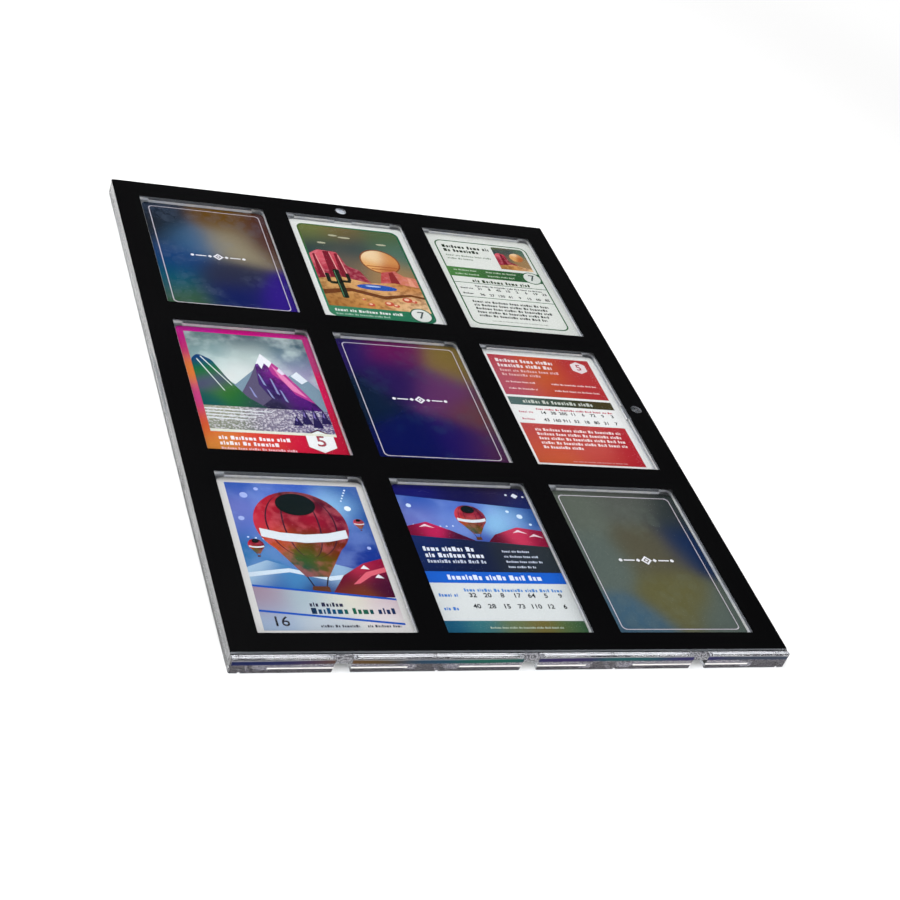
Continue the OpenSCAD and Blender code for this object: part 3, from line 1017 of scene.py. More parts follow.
def build_desert_front(node):
    card = Card(node, "#efefe9", "#2c6a4a")
    inks = desert_inks(card, "front", 0, 0, 1.0)
    green = shaded_ink("green_frame", card.middle, (
        (-24, 40, "#54682c"), (0, 41, "#1f6a48"), (26, 38, "#14603c"), (-28, 0, "#1c6e50"),
        (28, 0, "#146040"), (-24, -38, "#3c8460"), (0, -38, "#2c7a58"), (24, -38, "#1c6c4c")), 18)
    card.rectangle(-28.5, -41.2, 28.5, 41.2, 1, green, corner=4.6)
    card.rectangle(-27.3, -32.4, 27.3, 40, 2, inks["sky"], corner=3.6)
    for x, y, wide in ((-10, 32, 3.2), (-4, 30.8, 4.4), (16, 27.5, 3.6), (-18, 24, 3)):
        card.disc(x, y, 0.8, 3, "#b8b498", wide=wide)
    card.disc(11, 11, 11, 3, "#8a4a2a")
    card.disc(11, 11, 10.2, 4, inks["sun"])
    for y, half in ((6, 8.6), (3.6, 6.4)):
        card.rectangle(11 - half, y, 11 + half, y + 0.7, 5, "#a8582c")
    card.shape(
        ((-27.3, -10), (-27.3, 13), (-22, 17), (-12, 16), (-9, 4), (-3, 1), (1, -10)),
        6, inks["rock"], corner=0.8)
    for x, wide, top in ((-25.6, 1.2, 13), (-19.5, 3.2, 16), (-13.6, 1.6, 14.6)):
        right = x + wide
        card.shape(((x, top), (right, top + 0.3), (right + 1.4, -10), (x - 0.6, -10)), 7, "#7c1a2a")
        card.shape(
            ((right, top - 1), (right + 0.5, top - 1), (right + 2, -10), (right + 1.4, -10)),
            8, "#f0a4a0")
    card.shape(
        ((6, -10), (9, 1), (17, 3.4), (21, -1), (27.3, -2), (27.3, -10)),
        6, inks["rock"], corner=0.8)
    card.shape(((12, -10), (13, 1), (15.6, 2.4), (17.5, -10)), 7, "#8c2a2c")
    card.shape(((22, -10), (22.6, -2), (24.4, -2.6), (25.6, -10)), 7, "#e89c80")
    card.shape(
        ((-27.3, -9), (-14, -6.4), (0, -10), (14, -8), (27.3, -10.4), (27.3, -32.4),
         (-27.3, -32.4)), 9, inks["sand"])
    card.disc(3, -13.4, 2.6, 10, "#2454ac", wide=4.2)
    card.disc(1, -12.6, 0.6, 11, "#b4ccf0", wide=7)
    card.shape(
        ((-27.3, -19), (-12, -15.6), (5, -20.5), (20, -17), (27.3, -18.6), (27.3, -20.6), (20, -19),
         (5, -23.5), (-12, -18.6), (-27.3, -23)), 10, "#6c3a1c")
    for x0, y0, x1, y1 in ((-18, -25, -14.6, 0), (-23, -12, -20.8, -4), (-22, -13.2, -16, -11),
                           (-11.8, -10, -9.8, -3), (-16, -11.4, -10.4, -9.4)):
        card.rectangle(x0, y0, x1, y1, 11, "#16261c", corner=0.95)
    card.rectangle(-17.5, -24, -17, -1.4, 12, "#4c7c58")
    for x, y, radius in (
            (6, -27, 1.9), (9.6, -28.4, 1.3), (17, -22.4, 2.1), (20.6, -23.4, 1.2),
            (-4, -29, 1.4), (-7, -25, 0.8)):
        card.disc(x, y, radius, 11, "#c8503c", wide=1.3)
        card.disc(x - 0.3, y + 0.4, radius * 0.5, 12, "#f0c8a8", wide=1.3)
    card.lines(
        3, (-25, -35.6, 36, 2.1, "#e8ece4", 0), (-25, -38.8, 30, 1.3, "#a8c8b4", 3))
    card.roundel(21, -35, 6, "7", 10, "#1a5a40", "#e2e4dc", "#3c4c48")
    card.finish("printed_card_top_middle", "printed_card")


def build_desert_back(node):
    paper = "#e8e9e0"
    card = Card(node, paper, "#2c6a4a")
    inks = desert_inks(card, "back", 16, 26, 0.34)
    green = "#2f6238"
    dark = "#20281e"
    card.rectangle(-27.8, -38.4, 27.8, 38.8, 1, green, corner=4.6)
    card.rectangle(-27, -37.6, 27, 38, 2, paper, corner=3.9)
    card.rectangle(6, 15.4, 25.4, 36.6, 3, inks["sky"], corner=1.6)
    card.disc(19, 28, 4, 4, inks["sun"])
    card.shape(
        ((6, 15.4), (6, 29), (8, 31), (12, 30), (13.4, 23), (17, 21), (20, 15.4)),
        5, inks["rock"], corner=0.4)
    card.shape(((9, 15.4), (9.4, 30), (10.6, 30), (12, 15.4)), 6, "#7c1a2a")
    card.shape(((6, 15.4), (6, 19), (14, 20.6), (25.4, 17.6), (25.4, 15.4)), 7, inks["sand"])
    card.lines(
        3, (-24, 33, 28, 2.8, "#26381e", 2), (-24, 29.2, 24, 2.8, "#26381e", 5),
        (-24, 24.4, 27, 1.5, "#7c8c76", 0), (-24, 21.4, 15, 1.5, "#7c8c76", 4))
    band = shaded_ink("green_band", card.middle, (
        (-26, 9, "#4c8440"), (-8, 9, "#3c6c34"), (10, 9, "#2c5c30"), (26, 9, "#245438")), 12)
    card.rectangle(-27.8, 4.4, 27.8, 13.2, 3, band)
    for y, start in ((10.6, 1), (7, 4)):
        card.words(-24, y, 14, 1.3, 4, "#b9ccb0", start=start)
        card.words(-5, y, 18, 1.3, 4, "#b9ccb0", start=start + 2)
    card.roundel(22, 8.8, 5.6, "7", 5, green, "#dcdfd6", "#3c4c48")
    card.words(-16, 1.2, 34, 2.6, 3, "#38442e", start=1)
    card.rectangle(-27, -1.4, 27, -0.9, 3, green)
    card.lines(
        3, (-16, -3.6, 40, 1.2, dark, 3), (-25, -6.2, 7, 1.3, dark, 0),
        (-25, -11, 6, 1.3, dark, 2))
    card.number_table(
        -14, 24, -6.2, ("31 8 45 10 2 6 19 23", "96 27 130 41 9 15 60 85"), 2.0, 3, dark)
    card.rectangle(-27, -14.4, 27, -13.9, 3, green)
    for i in range(5):
        card.words(-22, -18 - 3.1 * i, 44 - 5 * (i == 4), 1.9, 3, "#30342e", start=i)
    card.words(-16, -34.6, 32, 0.8, 3, "#8a9284", start=3)
    card.finish("printed_card_top_right", "printed_card")


# Mountain cards

def build_mountain_front(node):
    middle = node_middle(node)
    red = shaded_ink("red_frame", middle, (
        (-26, 41, "#b81c8c"), (0, 42, "#c8147c"), (20, 42, "#c01c80"), (30, 30, "#b83c74"),
        (31, 0, "#d81c54"), (31, -24, "#c41c3c"), (-31, 30, "#c0246c"), (-31, 12, "#e07c30"),
        (-31, -8, "#c83c84"), (-31, -24, "#d8542c"), (-24, -40, "#d88838"), (-8, -38, "#d83c34"),
        (14, -38, "#cc1438"), (28, -40, "#bc1434")), 10)
    card = Card(node, red, "#b02040")
    sky = shaded_ink("mountain_sky", middle, (
        (-24, 38, "#546c6c"), (0, 38, "#314d58"), (22, 36, "#244251"), (-20, 26, "#8ea9a9"),
        (0, 25, "#bccbc6"), (20, 24, "#648192"), (-8, 10, "#e0e5e0"), (14, 8, "#d1cbe0"),
        (26, 14, "#8e85a9")), 10, cloud="#d1e0db", cloud_scale=75.0, cloud_share=0.6)
    peak = shaded_ink("mountain_peak", middle, (
        (14, 12, "#921e85"), (20, 0, "#641e7c"), (6, 4, "#382174"), (-4, 0, "#46385c"),
        (4, -10, "#312e46"), (22, -10, "#46136c"), (5, 24, "#643489")), 8,
        cloud="#130d2e", cloud_scale=260.0, cloud_share=0.55)
    slope = shaded_ink("mountain_slope", middle, (
        (-25, 20, "#133874"), (-24, 12, "#15741e"), (-22, 4, "#544674"), (-18, -3, "#38741e"),
        (-12, -8, "#1e6438"), (-24, -9, "#135454"), (-4, -12, "#2b4646")), 6)
    meadow = shaded_ink("mountain_meadow", middle, (
        (-22, -16, "#a0a085"), (0, -16, "#817889"), (20, -16, "#54467c"), (-18, -26, "#747c6c"),
        (4, -26, "#746c85"), (22, -26, "#64547c")), 10,
        cloud="#dbd6db", cloud_scale=1100.0, cloud_share=0.9)
    card.rectangle(-28.4, -30.6, 28.4, 40.6, 1, sky)
    card.shape(
        ((-28.4, -6), (-19, 11), (-11, 3), (0, 15), (9, 6), (20, 15), (28.4, 2), (28.4, -14),
         (-28.4, -14)), 2, "#7c94a4", corner=0.5)
    card.shape(((20, 15), (24, 8.6), (20.6, 6), (18.4, 9), (16.4, 11.6)), 3, "#e4eaf0")
    card.shape(((-15, -14), (-3, 9), (5, 27), (12, 17), (19, 3), (27, -14)), 4, peak)
    card.shape(((5, 27), (12, 17), (19, 3), (24, -8), (16, -2), (12, 7), (8, 12)), 5, "#b8388c")
    card.shape(((8.6, 19), (13, 12), (18, 2), (21, -4), (15, 1), (11, 10)), 6, "#e884b4")
    card.shape(((-3, 9), (1, 18), (0, 4), (4, -6), (-4, -14), (-15, -14)), 5, "#5c5470")
    for x, y, long in ((1, 12, 9), (6, 9, 12), (-5, 2, 8), (9, 1, 9), (3, 1, 7)):
        card.shape(
            ((x, y), (x + 0.8, y - 1), (x + 2.4, y - long), (x + 1.2, y - long + 1)),
            7, "#8c90c0")
    card.shape(
        ((5, 27), (9.4, 20.8), (7.4, 17), (5.6, 20), (3.6, 15.6), (2.6, 19.4), (1.4, 19)),
        8, "#f0f0f4")
    card.shape(((12, 17), (14, 12.6), (12.4, 12), (10.6, 14.8)), 8, "#e8dcec")
    card.shape(
        ((-28.4, -14), (-28.4, 20), (-25, 24), (-19, 20), (-14, 7), (-7, -6), (2, -14)),
        9, slope, corner=1.6)
    for x0, y0, x1, y1 in ((-26, 20, -17, -2), (-24, 22, -13, 2)):
        card.shape(((x0, y0), (x0 + 0.5, y0 + 0.3), (x1 + 0.4, y1), (x1 - 0.1, y1)), 10, "#dce8e0")
    card.rectangle(-28.4, -30.6, 28.4, -13, 10, meadow)
    for i in range(4):
        y = -14.6 - 2.1 * i
        right = 2 - 4 * i
        card.shape(
            ((-28.4, y), (right, y - 0.8), (right, y - 1.3), (-28.4, y - 0.8)), 11, "#e8ecec")
    for x, y, high in ((17, -23, 12), (21.6, -25, 15), (26, -22, 10), (12.6, -24, 7)):
        right = min(x + 2.4, 28.3)
        card.shape(((x - 2.4, y), (right, y), (x, y + high)), 11, "#241c4c")
        card.shape(
            ((x - 0.9, y + 0.5 * high), (x + 0.1, y + 0.4 * high), (x, y + 0.8 * high)),
            12, "#7c6cb0")
    card.rectangle(-28.4, -30.6, 28.4, -28.9, 12, "#e6e6d4")
    card.lines(
        2, (-25.6, -34.4, 32, 2.4, "#f6eef0", 1), (-25.6, -38, 26, 2.4, "#f6eef0", 4),
        (-25.6, -41.4, 34, 1.4, "#f4c8d0", 2))
    card.hexagon(20.4, -34.4, 7.4, "5", 10, "#b81c38", "#f2f2f0", "#a83848")
    card.finish("printed_card_centre_left", "printed_card")


def build_mountain_back(node):
    card = Card(node, "#f4f3ee", "#b02040")
    middle = card.middle
    upper = shaded_ink("red_panel_upper", middle, (
        (-26, 38, "#b83c48"), (-2, 36, "#c84c2c"), (20, 38, "#b02c34"), (-26, 24, "#b85c68"),
        (-4, 24, "#c4602c"), (22, 24, "#bc3c38"), (-22, 14, "#b44c60"), (4, 14, "#b83c34"),
        (26, 14, "#b42c34")), 12)
    lower = shaded_ink("red_panel_lower", middle, (
        (-22, -16, "#bc4848"), (0, -16, "#b43034"), (24, -16, "#b82830"), (-20, -28, "#c8503c"),
        (6, -26, "#cc5c50"), (26, -28, "#b02430"), (-18, -39, "#c85c34"), (8, -39, "#bc3c34"),
        (26, -39, "#b41c2c")), 12)
    band = shaded_ink("dark_band", middle, (
        (-26, 4, "#54706c"), (-6, 4, "#3c4c40"), (14, 4, "#3c3c24"), (28, 4, "#44391c")), 14)
    white = "#f2e4e2"
    card.rectangle(-28.4, 9, 28.4, 41, 1, upper)
    card.hexagon(21, 34.6, 4.8, "5", 2, "#b83c3c", "#ecdcdc", "#b03c48")
    card.lines(
        2, (-25, 36.6, 36, 2.6, white, 2), (-25, 32.6, 30, 2.6, white, 6),
        (-25, 28.6, 33, 1.9, "#e4b4b0", 0), (-25, 25.2, 22, 1.9, "#e4b4b0", 5))
    for y, start in ((19.4, 1), (14.2, 4)):
        card.words(-25, y, 16, 1.2, 2, "#f0d0cc", start=start)
        card.words(0, y, 25, 1.2, 2, "#f0d0cc", start=start + 3)
    card.rectangle(-28.4, 1.4, 28.4, 7.4, 1, band)
    card.words(-21, 4.4, 42, 2.5, 2, "#c8ccc0", start=4)
    card.lines(
        1, (-16, -1.2, 42, 1.4, "#c03c50", 3), (-26, -3.9, 8, 1.4, "#c8707c", 0),
        (-26, -9.2, 7, 1.4, "#c8707c", 2))
    card.number_table(
        -13, 25, -3.9, ("14 38 205 11 6 72 9 3", "43 160 911 52 18 80 31 7"), 2.1, 2, "#1c1c1c")
    card.rectangle(-28.4, -41.2, 28.4, -12.4, 1, lower)
    for i in range(5):
        card.words(-22, -16.8 - 3.2 * i, 46 - 22 * (i == 4), 1.9, 2, "#f8e4e0", start=i + 1)
    card.words(-10, -39.4, 30, 0.8, 2, "#dc9c98", start=3)
    card.finish("printed_card_centre_right", "printed_card")


# Balloon cards

# A rope of the basket, as (distance sideways, distance down) from the envelope's middle in radii
BALLOON_ROPE = ((0.2, 1.5), (0.23, 1.5), (0.14, 1.78), (0.11, 1.78))


def balloon_cloth_and_sheen(tag, middle, x, y, scale):
    """Red cloth, dark at the crown, with a painted rainbow sheen that turns it olive and teal
    towards the foot.
    """
    # The olive and teal towards the foot are a painted rainbow sheen over the printed red
    points = (
        (0, 20, "#101510"), (-13, 13, "#ad1a2b"), (12, 13, "#4d0d22"), (-17, 0, "#c72b42"),
        (-6, 4, "#790d25"), (5, 3, "#9e122e"), (17, 0, "#6c0b2b"), (-12, -8, "#b2461a"),
        (2, -10, "#5c310b"), (12, -12, "#6c2510"), (-3, -20, "#315c1a"), (-5, -28, "#103f4d"),
        (5, -26, "#5c4d09"))
    return shaded_ink(
        "balloon_cloth_and_sheen_" + tag, middle, moved(points, x, y, scale), 7 * scale, 1.0,
        cloud="#e96c75", cloud_scale=190.0, cloud_share=0.3)


def draw_balloon(card, x, y, radius, level, cloth):
    """A hot-air balloon with seams, a pale band and a basket, centred on its envelope."""
    r = radius
    card.shape(
        ((x - 0.82 * r, y - 0.5 * r), (x + 0.82 * r, y - 0.5 * r), (x + 0.24 * r, y - 1.5 * r),
         (x - 0.24 * r, y - 1.5 * r)), level, cloth)
    card.disc(x, y, r, level + 1, cloth, sides=48)
    for step, wide in enumerate((0.76, 0.4)):
        card.disc(x, y, r * 0.99, level + 2 + 2 * step, "#3c1c2c", wide=wide, sides=48)
        card.disc(x, y, r * 0.99, level + 3 + 2 * step, cloth, wide=wide - 0.035, sides=48)
    lower = [(x + r * t, y - r * (0.34 + 0.2 * (1 - t * t))) for t in (-0.92, -0.5, 0, 0.5, 0.92)]
    upper = [(px, py + 0.24 * r) for px, py in reversed(lower)]
    card.shape(lower + upper, level + 6, "#dfe6ea")
    card.disc(x, y + 0.6 * r, 0.33 * r, level + 6, "#0c1818", wide=1.3)
    for side in (-1, 1):
        rope = [(x + side * across * r, y - down * r) for across, down in BALLOON_ROPE]
        card.shape(rope, level + 1, "#2c2024")
    card.rectangle(
        x - 0.18 * r, y - 2.02 * r, x + 0.18 * r, y - 1.76 * r,
        level + 2, "#5c3420", corner=0.05 * r)


def winter_sky(tag, middle, top):
    points = (
        (-24, 0, "#3158ae"), (0, 0, "#385cb8"), (24, -2, "#1b499b"), (-26, -14, "#7078c1"),
        (-8, -12, "#6481cb"), (17, -12, "#92c6eb"), (28, -18, "#134697"), (-24, -26, "#546cbc"),
        (-22, -38, "#136ca0"), (24, -28, "#15429b"), (22, -40, "#183189"), (0, -34, "#384da0"))
    return shaded_ink(
        "winter_sky_" + tag, middle, moved(points, 0, top), 9,
        cloud="#8ea9e5", cloud_scale=60.0, cloud_share=0.35)


def lights(card, points, level, finish):
    """A few far lights, given as (x, y, radius)."""
    for x, y, radius in points:
        card.disc(x, y, radius, level, finish, sides=16)


def build_balloon_front(node):
    card = Card(node, "#dedbd6", "#2c58a8")
    middle = card.middle
    sky = winter_sky("front", middle, 40)
    cloth = balloon_cloth_and_sheen("front", middle, -1, 17, 1.0)
    card.rectangle(-28.9, -24, 28.9, 41.6, 1, sky)
    lights(
        card, [(-25 + 3.1 * i, 9 - 0.5 * i + 0.06 * i * i, 0.45) for i in range(8)], 2, "#cfe0f8")
    lights(card, [(23 - 0.8 * i, 39 - 1.7 * i, 0.5 - 0.03 * i) for i in range(5)], 2, "#e0f0ff")
    lights(
        card, ((-22, 34, 1.7), (-16, 38, 1.0), (24.5, 17, 1.2), (-25.6, 20, 1.3), (25, 4, 0.9)),
        2, "#a8b8ec")
    card.disc(21.6, 27.6, 1.5, 2, "#f4fcff", sides=20)
    snow = shaded_ink("snow_hills", middle, (
        (-26, -10, "#aecbe0"), (-10, -12, "#4685b8"), (6, -10, "#92b3d1"), (24, -10, "#465ca5"),
        (-20, -16, "#2b5c9b"), (0, -20, "#1e3874"), (24, -20, "#642b54")), 7)
    card.shape(
        ((-28.9, -8), (-20, -4), (-8, -9), (6, -5), (18, -9), (28.9, -5), (28.9, -24),
         (-28.9, -24)), 2, snow, corner=0.6)
    card.shape(
        ((-28.9, -11), (-12, -8.4), (4, -12.6), (28.9, -9), (28.9, -11), (4, -15), (-12, -10.6),
         (-28.9, -13.4)), 3, "#d1e0eb")
    crimson = shaded_ink("crimson_hill", middle, (
        (28, -4, "#921038"), (18, -8, "#b32b46"), (10, -14, "#640d2b"), (24, -16, "#460d2e"),
        (14, -22, "#74381e")), 6)
    card.shape(((28.9, -2), (20, -5), (10, -12), (2, -24), (28.9, -24)), 4, crimson, corner=0.5)
    card.shape(
        ((28.9, -7), (20, -10), (13, -17), (16, -16.4), (22, -12), (28.9, -9.6)), 5, "#e06474")
    for x, y in ((20, -8), (25, -13)):
        card.shape(((x - 1.8, y), (x, y + 2), (x + 2, y - 0.4)), 6, "#ebebf0")
    draw_balloon(card, -1, 17, 20, 5, cloth)
    for x, y, radius in ((-22.6, 4.6, 3.4), (24.4, 19, 2.4)):
        small = balloon_cloth_and_sheen("far_" + str(int(radius)), middle, x, y, radius / 20)
        draw_balloon(card, x, y, radius, 4, small)
    panel = shaded_ink("pale_panel", middle, (
        (-26, -24, "#a08898"), (-8, -24, "#a4b8c0"), (8, -24, "#dcd8c4"), (26, -28, "#ccb4bc"),
        (-25, -38, "#9cb0c8"), (-2, -38, "#bcc4cc"), (24, -40, "#e0ded8")), 10)
    card.shape(((-28.9, -18), (28.9, -25), (28.9, -41.8), (-28.9, -41.8)), 11, panel)
    for y in (-17.6, -31):
        card.shape(((-28.9, y), (28.9, y - 7), (28.9, y - 8.1), (-28.9, y - 1.1)), 12, "#1c50b4")
    card.words(-8, -28.2, 14, 2.2, 12, "#2c2c44", start=1)
    title = shaded_ink("title_ink", middle, (
        (-8, -31, "#14243c"), (0, -31, "#0c4470"), (10, -31, "#1c5c44"), (24, -31, "#1c2c54")), 5)
    card.lines(
        12, (-8, -31.6, 35, 3.2, title, 2), (-6, -39.6, 16, 1.4, "#3c3c48", 4),
        (13, -39.6, 14, 1.4, "#3c3c48", 1))
    card.digits("16", -21.4, -37.4, 5.0, 12, "#141420", 0.015)
    card.finish("printed_card_bottom_left", "printed_card")


def build_balloon_back(node):
    middle = node_middle(node)
    strip = shaded_ink("foil_strip", middle, (
        (-29, -41, "#1c6080"), (-14, -41, "#3c7c84"), (0, -41, "#6c7c54"), (12, -41, "#7c6c34"),
        (24, -41, "#5c7444"), (31, -41, "#2c5c44")), 8, metallic=0.2)
    card = Card(node, strip, "#2c58a8")
    navy = shaded_ink("navy_panel", middle, (
        (-24, 41, "#151564"), (0, 41, "#131346"), (24, 43, "#2b1824"), (30, 36, "#132b6c"),
        (-26, 2, "#132b64"), (-8, 2, "#131e3f"), (14, 2, "#242b34"), (28, 0, "#31383b"),
        (-20, -8, "#0d1838"), (20, -8, "#1e2734")), 12)
    sky = winter_sky("back", middle, 36)
    cloth = balloon_cloth_and_sheen("back", middle, 0, 25, 0.36)
    white = "#e8ecf4"
    card.rectangle(-31.7, -16, 31.7, 44.4, 1, navy, corner=2.6)
    card.shape(((-31.7, 37.6), (31.7, 31), (31.7, 7), (-31.7, 12.6)), 2, sky)
    lights(card, [(-28 + 3 * i, 19 - 0.4 * i + 0.06 * i * i, 0.45) for i in range(7)], 3, "#cfe0f8")
    lights(card, ((24, 26, 1.4), (27.6, 21, 0.7), (19, 29, 0.8), (-27, 31, 1.2)), 3, "#d8ecff")
    crimson = shaded_ink("crimson_hills", middle, (
        (-30, 16, "#740d31"), (-20, 18, "#c12154"), (-8, 12, "#460d2e"), (30, 15, "#92183b"),
        (18, 16, "#cb3858"), (8, 11, "#540d27")), 6)
    card.shape(((-31.7, 18), (-22, 21), (-12, 16), (-2, 10), (-31.7, 12.6)), 4, crimson, corner=0.4)
    card.shape(((31.7, 17), (20, 19), (8, 14), (4, 9.5), (31.7, 7)), 4, crimson, corner=0.4)
    for x, y in ((-23, 18.6), (20, 16.4), (27, 14)):
        card.shape(((x - 3, y - 1), (x, y + 1), (x + 4, y - 1.4), (x, y - 0.4)), 5, "#f0d8e0")
    draw_balloon(card, 0, 25, 7.2, 6, cloth)
    card.disc(26, 39.4, 1.7, 3, white, sides=4)
    lights(card, ((22, 39.9, 0.6), (30, 39, 0.6)), 3, white)
    card.lines(
        3, (-28, 4.6, 24, 2.6, white, 3), (-28, 0.8, 30, 2.6, white, 1),
        (-28, -2.8, 27, 1.9, "#c0c8d8", 6))
    for i in range(4):
        card.words(8, 3.8 - 3.1 * i, 13 + 3 * (i % 3), 1.2, 3, "#c8d0e0", start=i)
    card.rectangle(-31.74, -15.4, 31.74, -8.8, 2, "#1c60c8")
    card.words(-22, -12.1, 44, 2.9, 3, "#e4ecf8", start=6)
    card.rectangle(-31.74, -36.6, 31.74, -15.4, 2, "#dcdfdc")
    card.lines(
        3, (-17, -19.4, 45, 1.8, "#4c84c8", 3), (-29, -22.4, 9, 1.8, "#3c78c8", 0),
        (-29, -30, 7, 1.8, "#3c78c8", 1))
    card.number_table(
        -14, 26, -22.4, ("32 20 8 17 64 5 9", "40 28 15 73 110 12 6"), 2.4, 3, "#1c2024")
    card.words(-12, -40.4, 34, 1.0, 2, "#b8c4b0", start=2)
    card.finish("printed_card_bottom_middle", "printed_card")


# The studio

SENSOR_WIDTH = 36
FLOOR_SIZE = 6.0
FLOOR_GAP = 0.05 * MM
# Distances from the case between which the floor turns white
FLOOR_FADE = (0.45, 0.9)
# The backdrop's light at the horizon and overhead
BACKDROP_LIGHT = (0.8, 0.02)
# Heights between which this light falls off, and between which the white behind the acrylic ends.
# The height is 0 at the horizon and 1 overhead.
LIGHT_FADE = (0.16, 0.34)
WHITE_FADE = (0.36, 0.44)
# The soft lamps, as (name, place, width, height, watts)
LAMPS = (
    ("top_lamp", (-0.25, 0.3, 1.2), 0.9, 0.9, 20),
    ("left_lamp", (-1.2, 0.2, 0.7), 0.8, 0.8, 6),
    ("right_lamp", (0.7, -1.2, 0.9), 0.9, 0.7, 12))


def floor_finish():
    """Pale matt floor, which keeps the case's shadow.

    Far from the case it looks white to the camera and through the acrylic.
    """
    material, tree, place = new_finish("studio_floor")
    matt = add(tree, "ShaderNodeBsdfDiffuse", {"Color": opaque(studio_settings().floor_colour)})
    white = add(tree, "ShaderNodeEmission", {"Color": (1, 1, 1, 1), "Strength": 1.0})
    away = add(tree, "ShaderNodeVectorMath", {0: place}, operation="LENGTH").outputs["Value"]
    rays = add(tree, "ShaderNodeLightPath").outputs
    seen = calc(tree, "MAXIMUM", rays["Is Camera Ray"], rays["Is Transmission Ray"])
    share = calc(tree, "MULTIPLY", remap(tree, away, *FLOOR_FADE, 0.0, 1.0), seen)
    surface(tree, add(tree, "ShaderNodeMixShader", {
        0: share, 1: matt.outputs[0], 2: white.outputs[0]}))
    return material


def build_floor():
    bm = bmesh.new()
    bmesh.ops.create_grid(bm, x_segments=1, y_segments=1, size=FLOOR_SIZE / 2)
    bmesh.ops.translate(bm, verts=bm.verts, vec=(0, 0, CAD_LOW.z - FLOOR_GAP))
    floor = new_object(bm, "studio_floor", [floor_finish()])


def build_world():
    """A white backdrop up to a height, and a dark ceiling above it."""
    world = bpy.data.worlds.new("studio")
    bpy.context.scene.world = world
    world.use_nodes = True
    tree = world.node_tree
    tree.nodes.clear()
    height = axes(tree, add(tree, "ShaderNodeTexCoord").outputs["Generated"])["Z"]
    rays = add(tree, "ShaderNodeLightPath").outputs
    through = remap(tree, height, *WHITE_FADE, 1.0, 0.0)
    through = calc(tree, "MULTIPLY", through, rays["Is Transmission Ray"])
    seen = calc(tree, "MAXIMUM", rays["Is Camera Ray"], through)
    level = calc(tree, "MAXIMUM", remap(tree, height, *LIGHT_FADE, *BACKDROP_LIGHT), seen)
    backdrop = add(tree, "ShaderNodeBackground", {"Color": (1, 1, 1, 1), "Strength": level})
    add(tree, "ShaderNodeOutputWorld", {"Surface": backdrop.outputs[0]})


def build_lamps():
    """Rectangular soft lamps that look at the middle of the case's back."""
    for name, place, width, height, watts in LAMPS:
        data = bpy.data.lights.new(name, "AREA")
        data.shape = "RECTANGLE"
        data.size = width
        data.size_y = height
        data.energy = watts
        lamp = bpy.data.objects.new(name, data)
        lamp.location = place
        lamp.rotation_euler = (-Vector(place)).to_track_quat("-Z", "Y").to_euler()
        bpy.context.scene.collection.objects.link(lamp)


def build_camera():
    settings = studio_settings()
    data = bpy.data.cameras.new("photo_camera")
    data.sensor_width = SENSOR_WIDTH
    data.lens = settings.camera_lens
    data.clip_start = 0.01
    camera = bpy.data.objects.new("photo_camera", data)
    camera.location = settings.camera_place
    camera.rotation_euler = settings.camera_turn
    bpy.context.scene.collection.objects.link(camera)
    bpy.context.scene.camera = camera


# Operators

class CARDCASE_OT_tray(bpy.types.Operator):
    """Dress the clear tray"""

    bl_idname = "card_case.tray"
    bl_label = "Clear tray"

    def execute(self, context):
        build_tray()
        return {"FINISHED"}


class CARDCASE_OT_lid(bpy.types.Operator):
    """Dress the clear lid with its frosted hinge tabs"""

    bl_idname = "card_case.lid"
    bl_label = "Clear lid"

    def execute(self, context):
        build_lid()
        return {"FINISHED"}


class CARDCASE_OT_border(bpy.types.Operator):
    """Finish the black border film"""

    bl_idname = "card_case.border"
    bl_label = "Border film"

    def execute(self, context):
        build_border()
        return {"FINISHED"}


class CARDCASE_OT_magnets(bpy.types.Operator):
    """Build the four disc magnets"""

    bl_idname = "card_case.magnets"
    bl_label = "Magnets"

    def execute(self, context):
        for place, least_rough, most_rough in (("top", 0.5, 0.65), ("side", 0.22, 0.3)):
            plating = nickel("nickel_" + place, least_rough, most_rough)
            build_magnet("base_magnet_" + place, plating)
            build_magnet("lid_magnet_" + place, plating)
        return {"FINISHED"}


class CARDCASE_OT_foil_cards(bpy.types.Operator):
    """Build the three holographic foil cards"""

    bl_idname = "card_case.foil_cards"
    bl_label = "Foil cards"

    def execute(self, context):
        shared_finishes()
        for node, look in FOILS.items():
            build_foil_card(node, look)
        return {"FINISHED"}


class CARDCASE_OT_desert_cards(bpy.types.Operator):
    """Build the front and the back with the desert picture"""

    bl_idname = "card_case.desert_cards"
    bl_label = "Desert cards"

    def execute(self, context):
        shared_finishes()
        build_desert_front("card_top_middle")
        build_desert_back("card_top_right")
        return {"FINISHED"}


class CARDCASE_OT_mountain_cards(bpy.types.Operator):
    """Build the front and the back with the mountain picture"""

    bl_idname = "card_case.mountain_cards"
    bl_label = "Mountain cards"

    def execute(self, context):
        shared_finishes()
        build_mountain_front("card_centre_left")
        build_mountain_back("card_centre_right")
        return {"FINISHED"}


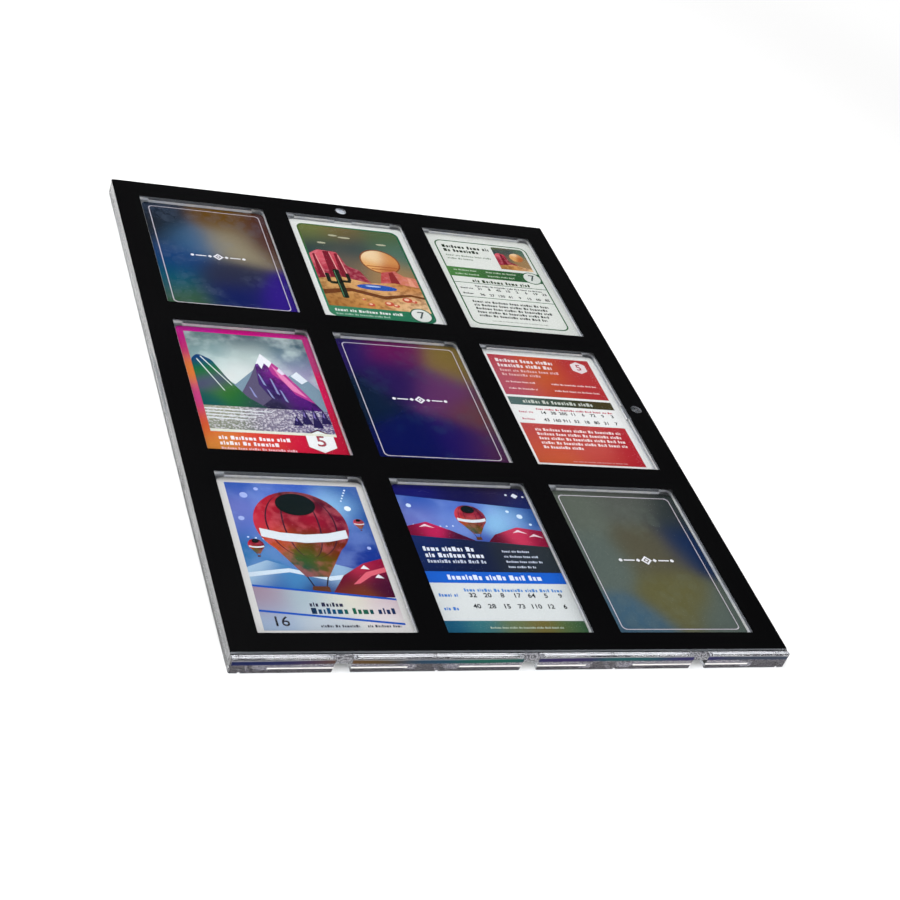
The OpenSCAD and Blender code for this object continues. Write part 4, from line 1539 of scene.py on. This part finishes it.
class CARDCASE_OT_balloon_cards(bpy.types.Operator):
    """Build the front and the back with the balloon picture"""

    bl_idname = "card_case.balloon_cards"
    bl_label = "Balloon cards"

    def execute(self, context):
        shared_finishes()
        build_balloon_front("card_bottom_left")
        build_balloon_back("card_bottom_middle")
        return {"FINISHED"}


class CARDCASE_OT_studio(bpy.types.Operator):
    """Set up the floor, the lamps and the camera"""

    bl_idname = "card_case.studio"
    bl_label = "Studio"

    def execute(self, context):
        build_floor()
        build_world()
        build_lamps()
        build_camera()
        view = bpy.context.scene.view_settings
        view.view_transform = "Standard"
        return {"FINISHED"}


BUILD_ORDER = (
    CARDCASE_OT_studio,
    CARDCASE_OT_tray,
    CARDCASE_OT_lid,
    CARDCASE_OT_border,
    CARDCASE_OT_magnets,
    CARDCASE_OT_foil_cards,
    CARDCASE_OT_desert_cards,
    CARDCASE_OT_mountain_cards,
    CARDCASE_OT_balloon_cards,
)


class CARDCASE_PT_panel(bpy.types.Panel):
    """Lists the steps that dress the display case"""

    bl_idname = "CARDCASE_PT_panel"
    bl_label = "Card Case"
    bl_space_type = "VIEW_3D"
    bl_region_type = "UI"
    bl_category = "Card Case"

    def draw(self, context):
        for step in BUILD_ORDER:
            self.layout.operator(step.bl_idname)


CLASSES = (CaseSettings, CardSettings, StudioSettings, *BUILD_ORDER, CARDCASE_PT_panel)


def register():
    for cls in CLASSES:
        bpy.utils.register_class(cls)
    bpy.types.Scene.card_case_settings = bpy.props.PointerProperty(type=CaseSettings)
    bpy.types.Scene.card_print_settings = bpy.props.PointerProperty(type=CardSettings)
    bpy.types.Scene.card_studio_settings = bpy.props.PointerProperty(type=StudioSettings)


def unregister():
    del bpy.types.Scene.card_studio_settings
    del bpy.types.Scene.card_print_settings
    del bpy.types.Scene.card_case_settings
    for cls in reversed(CLASSES):
        bpy.utils.unregister_class(cls)


def main():
    """Registers the add-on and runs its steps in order."""
    register()
    for step in BUILD_ORDER:
        group, name = step.bl_idname.split(".")
        getattr(getattr(bpy.ops, group), name)()


if __name__ == "__main__":
    main()
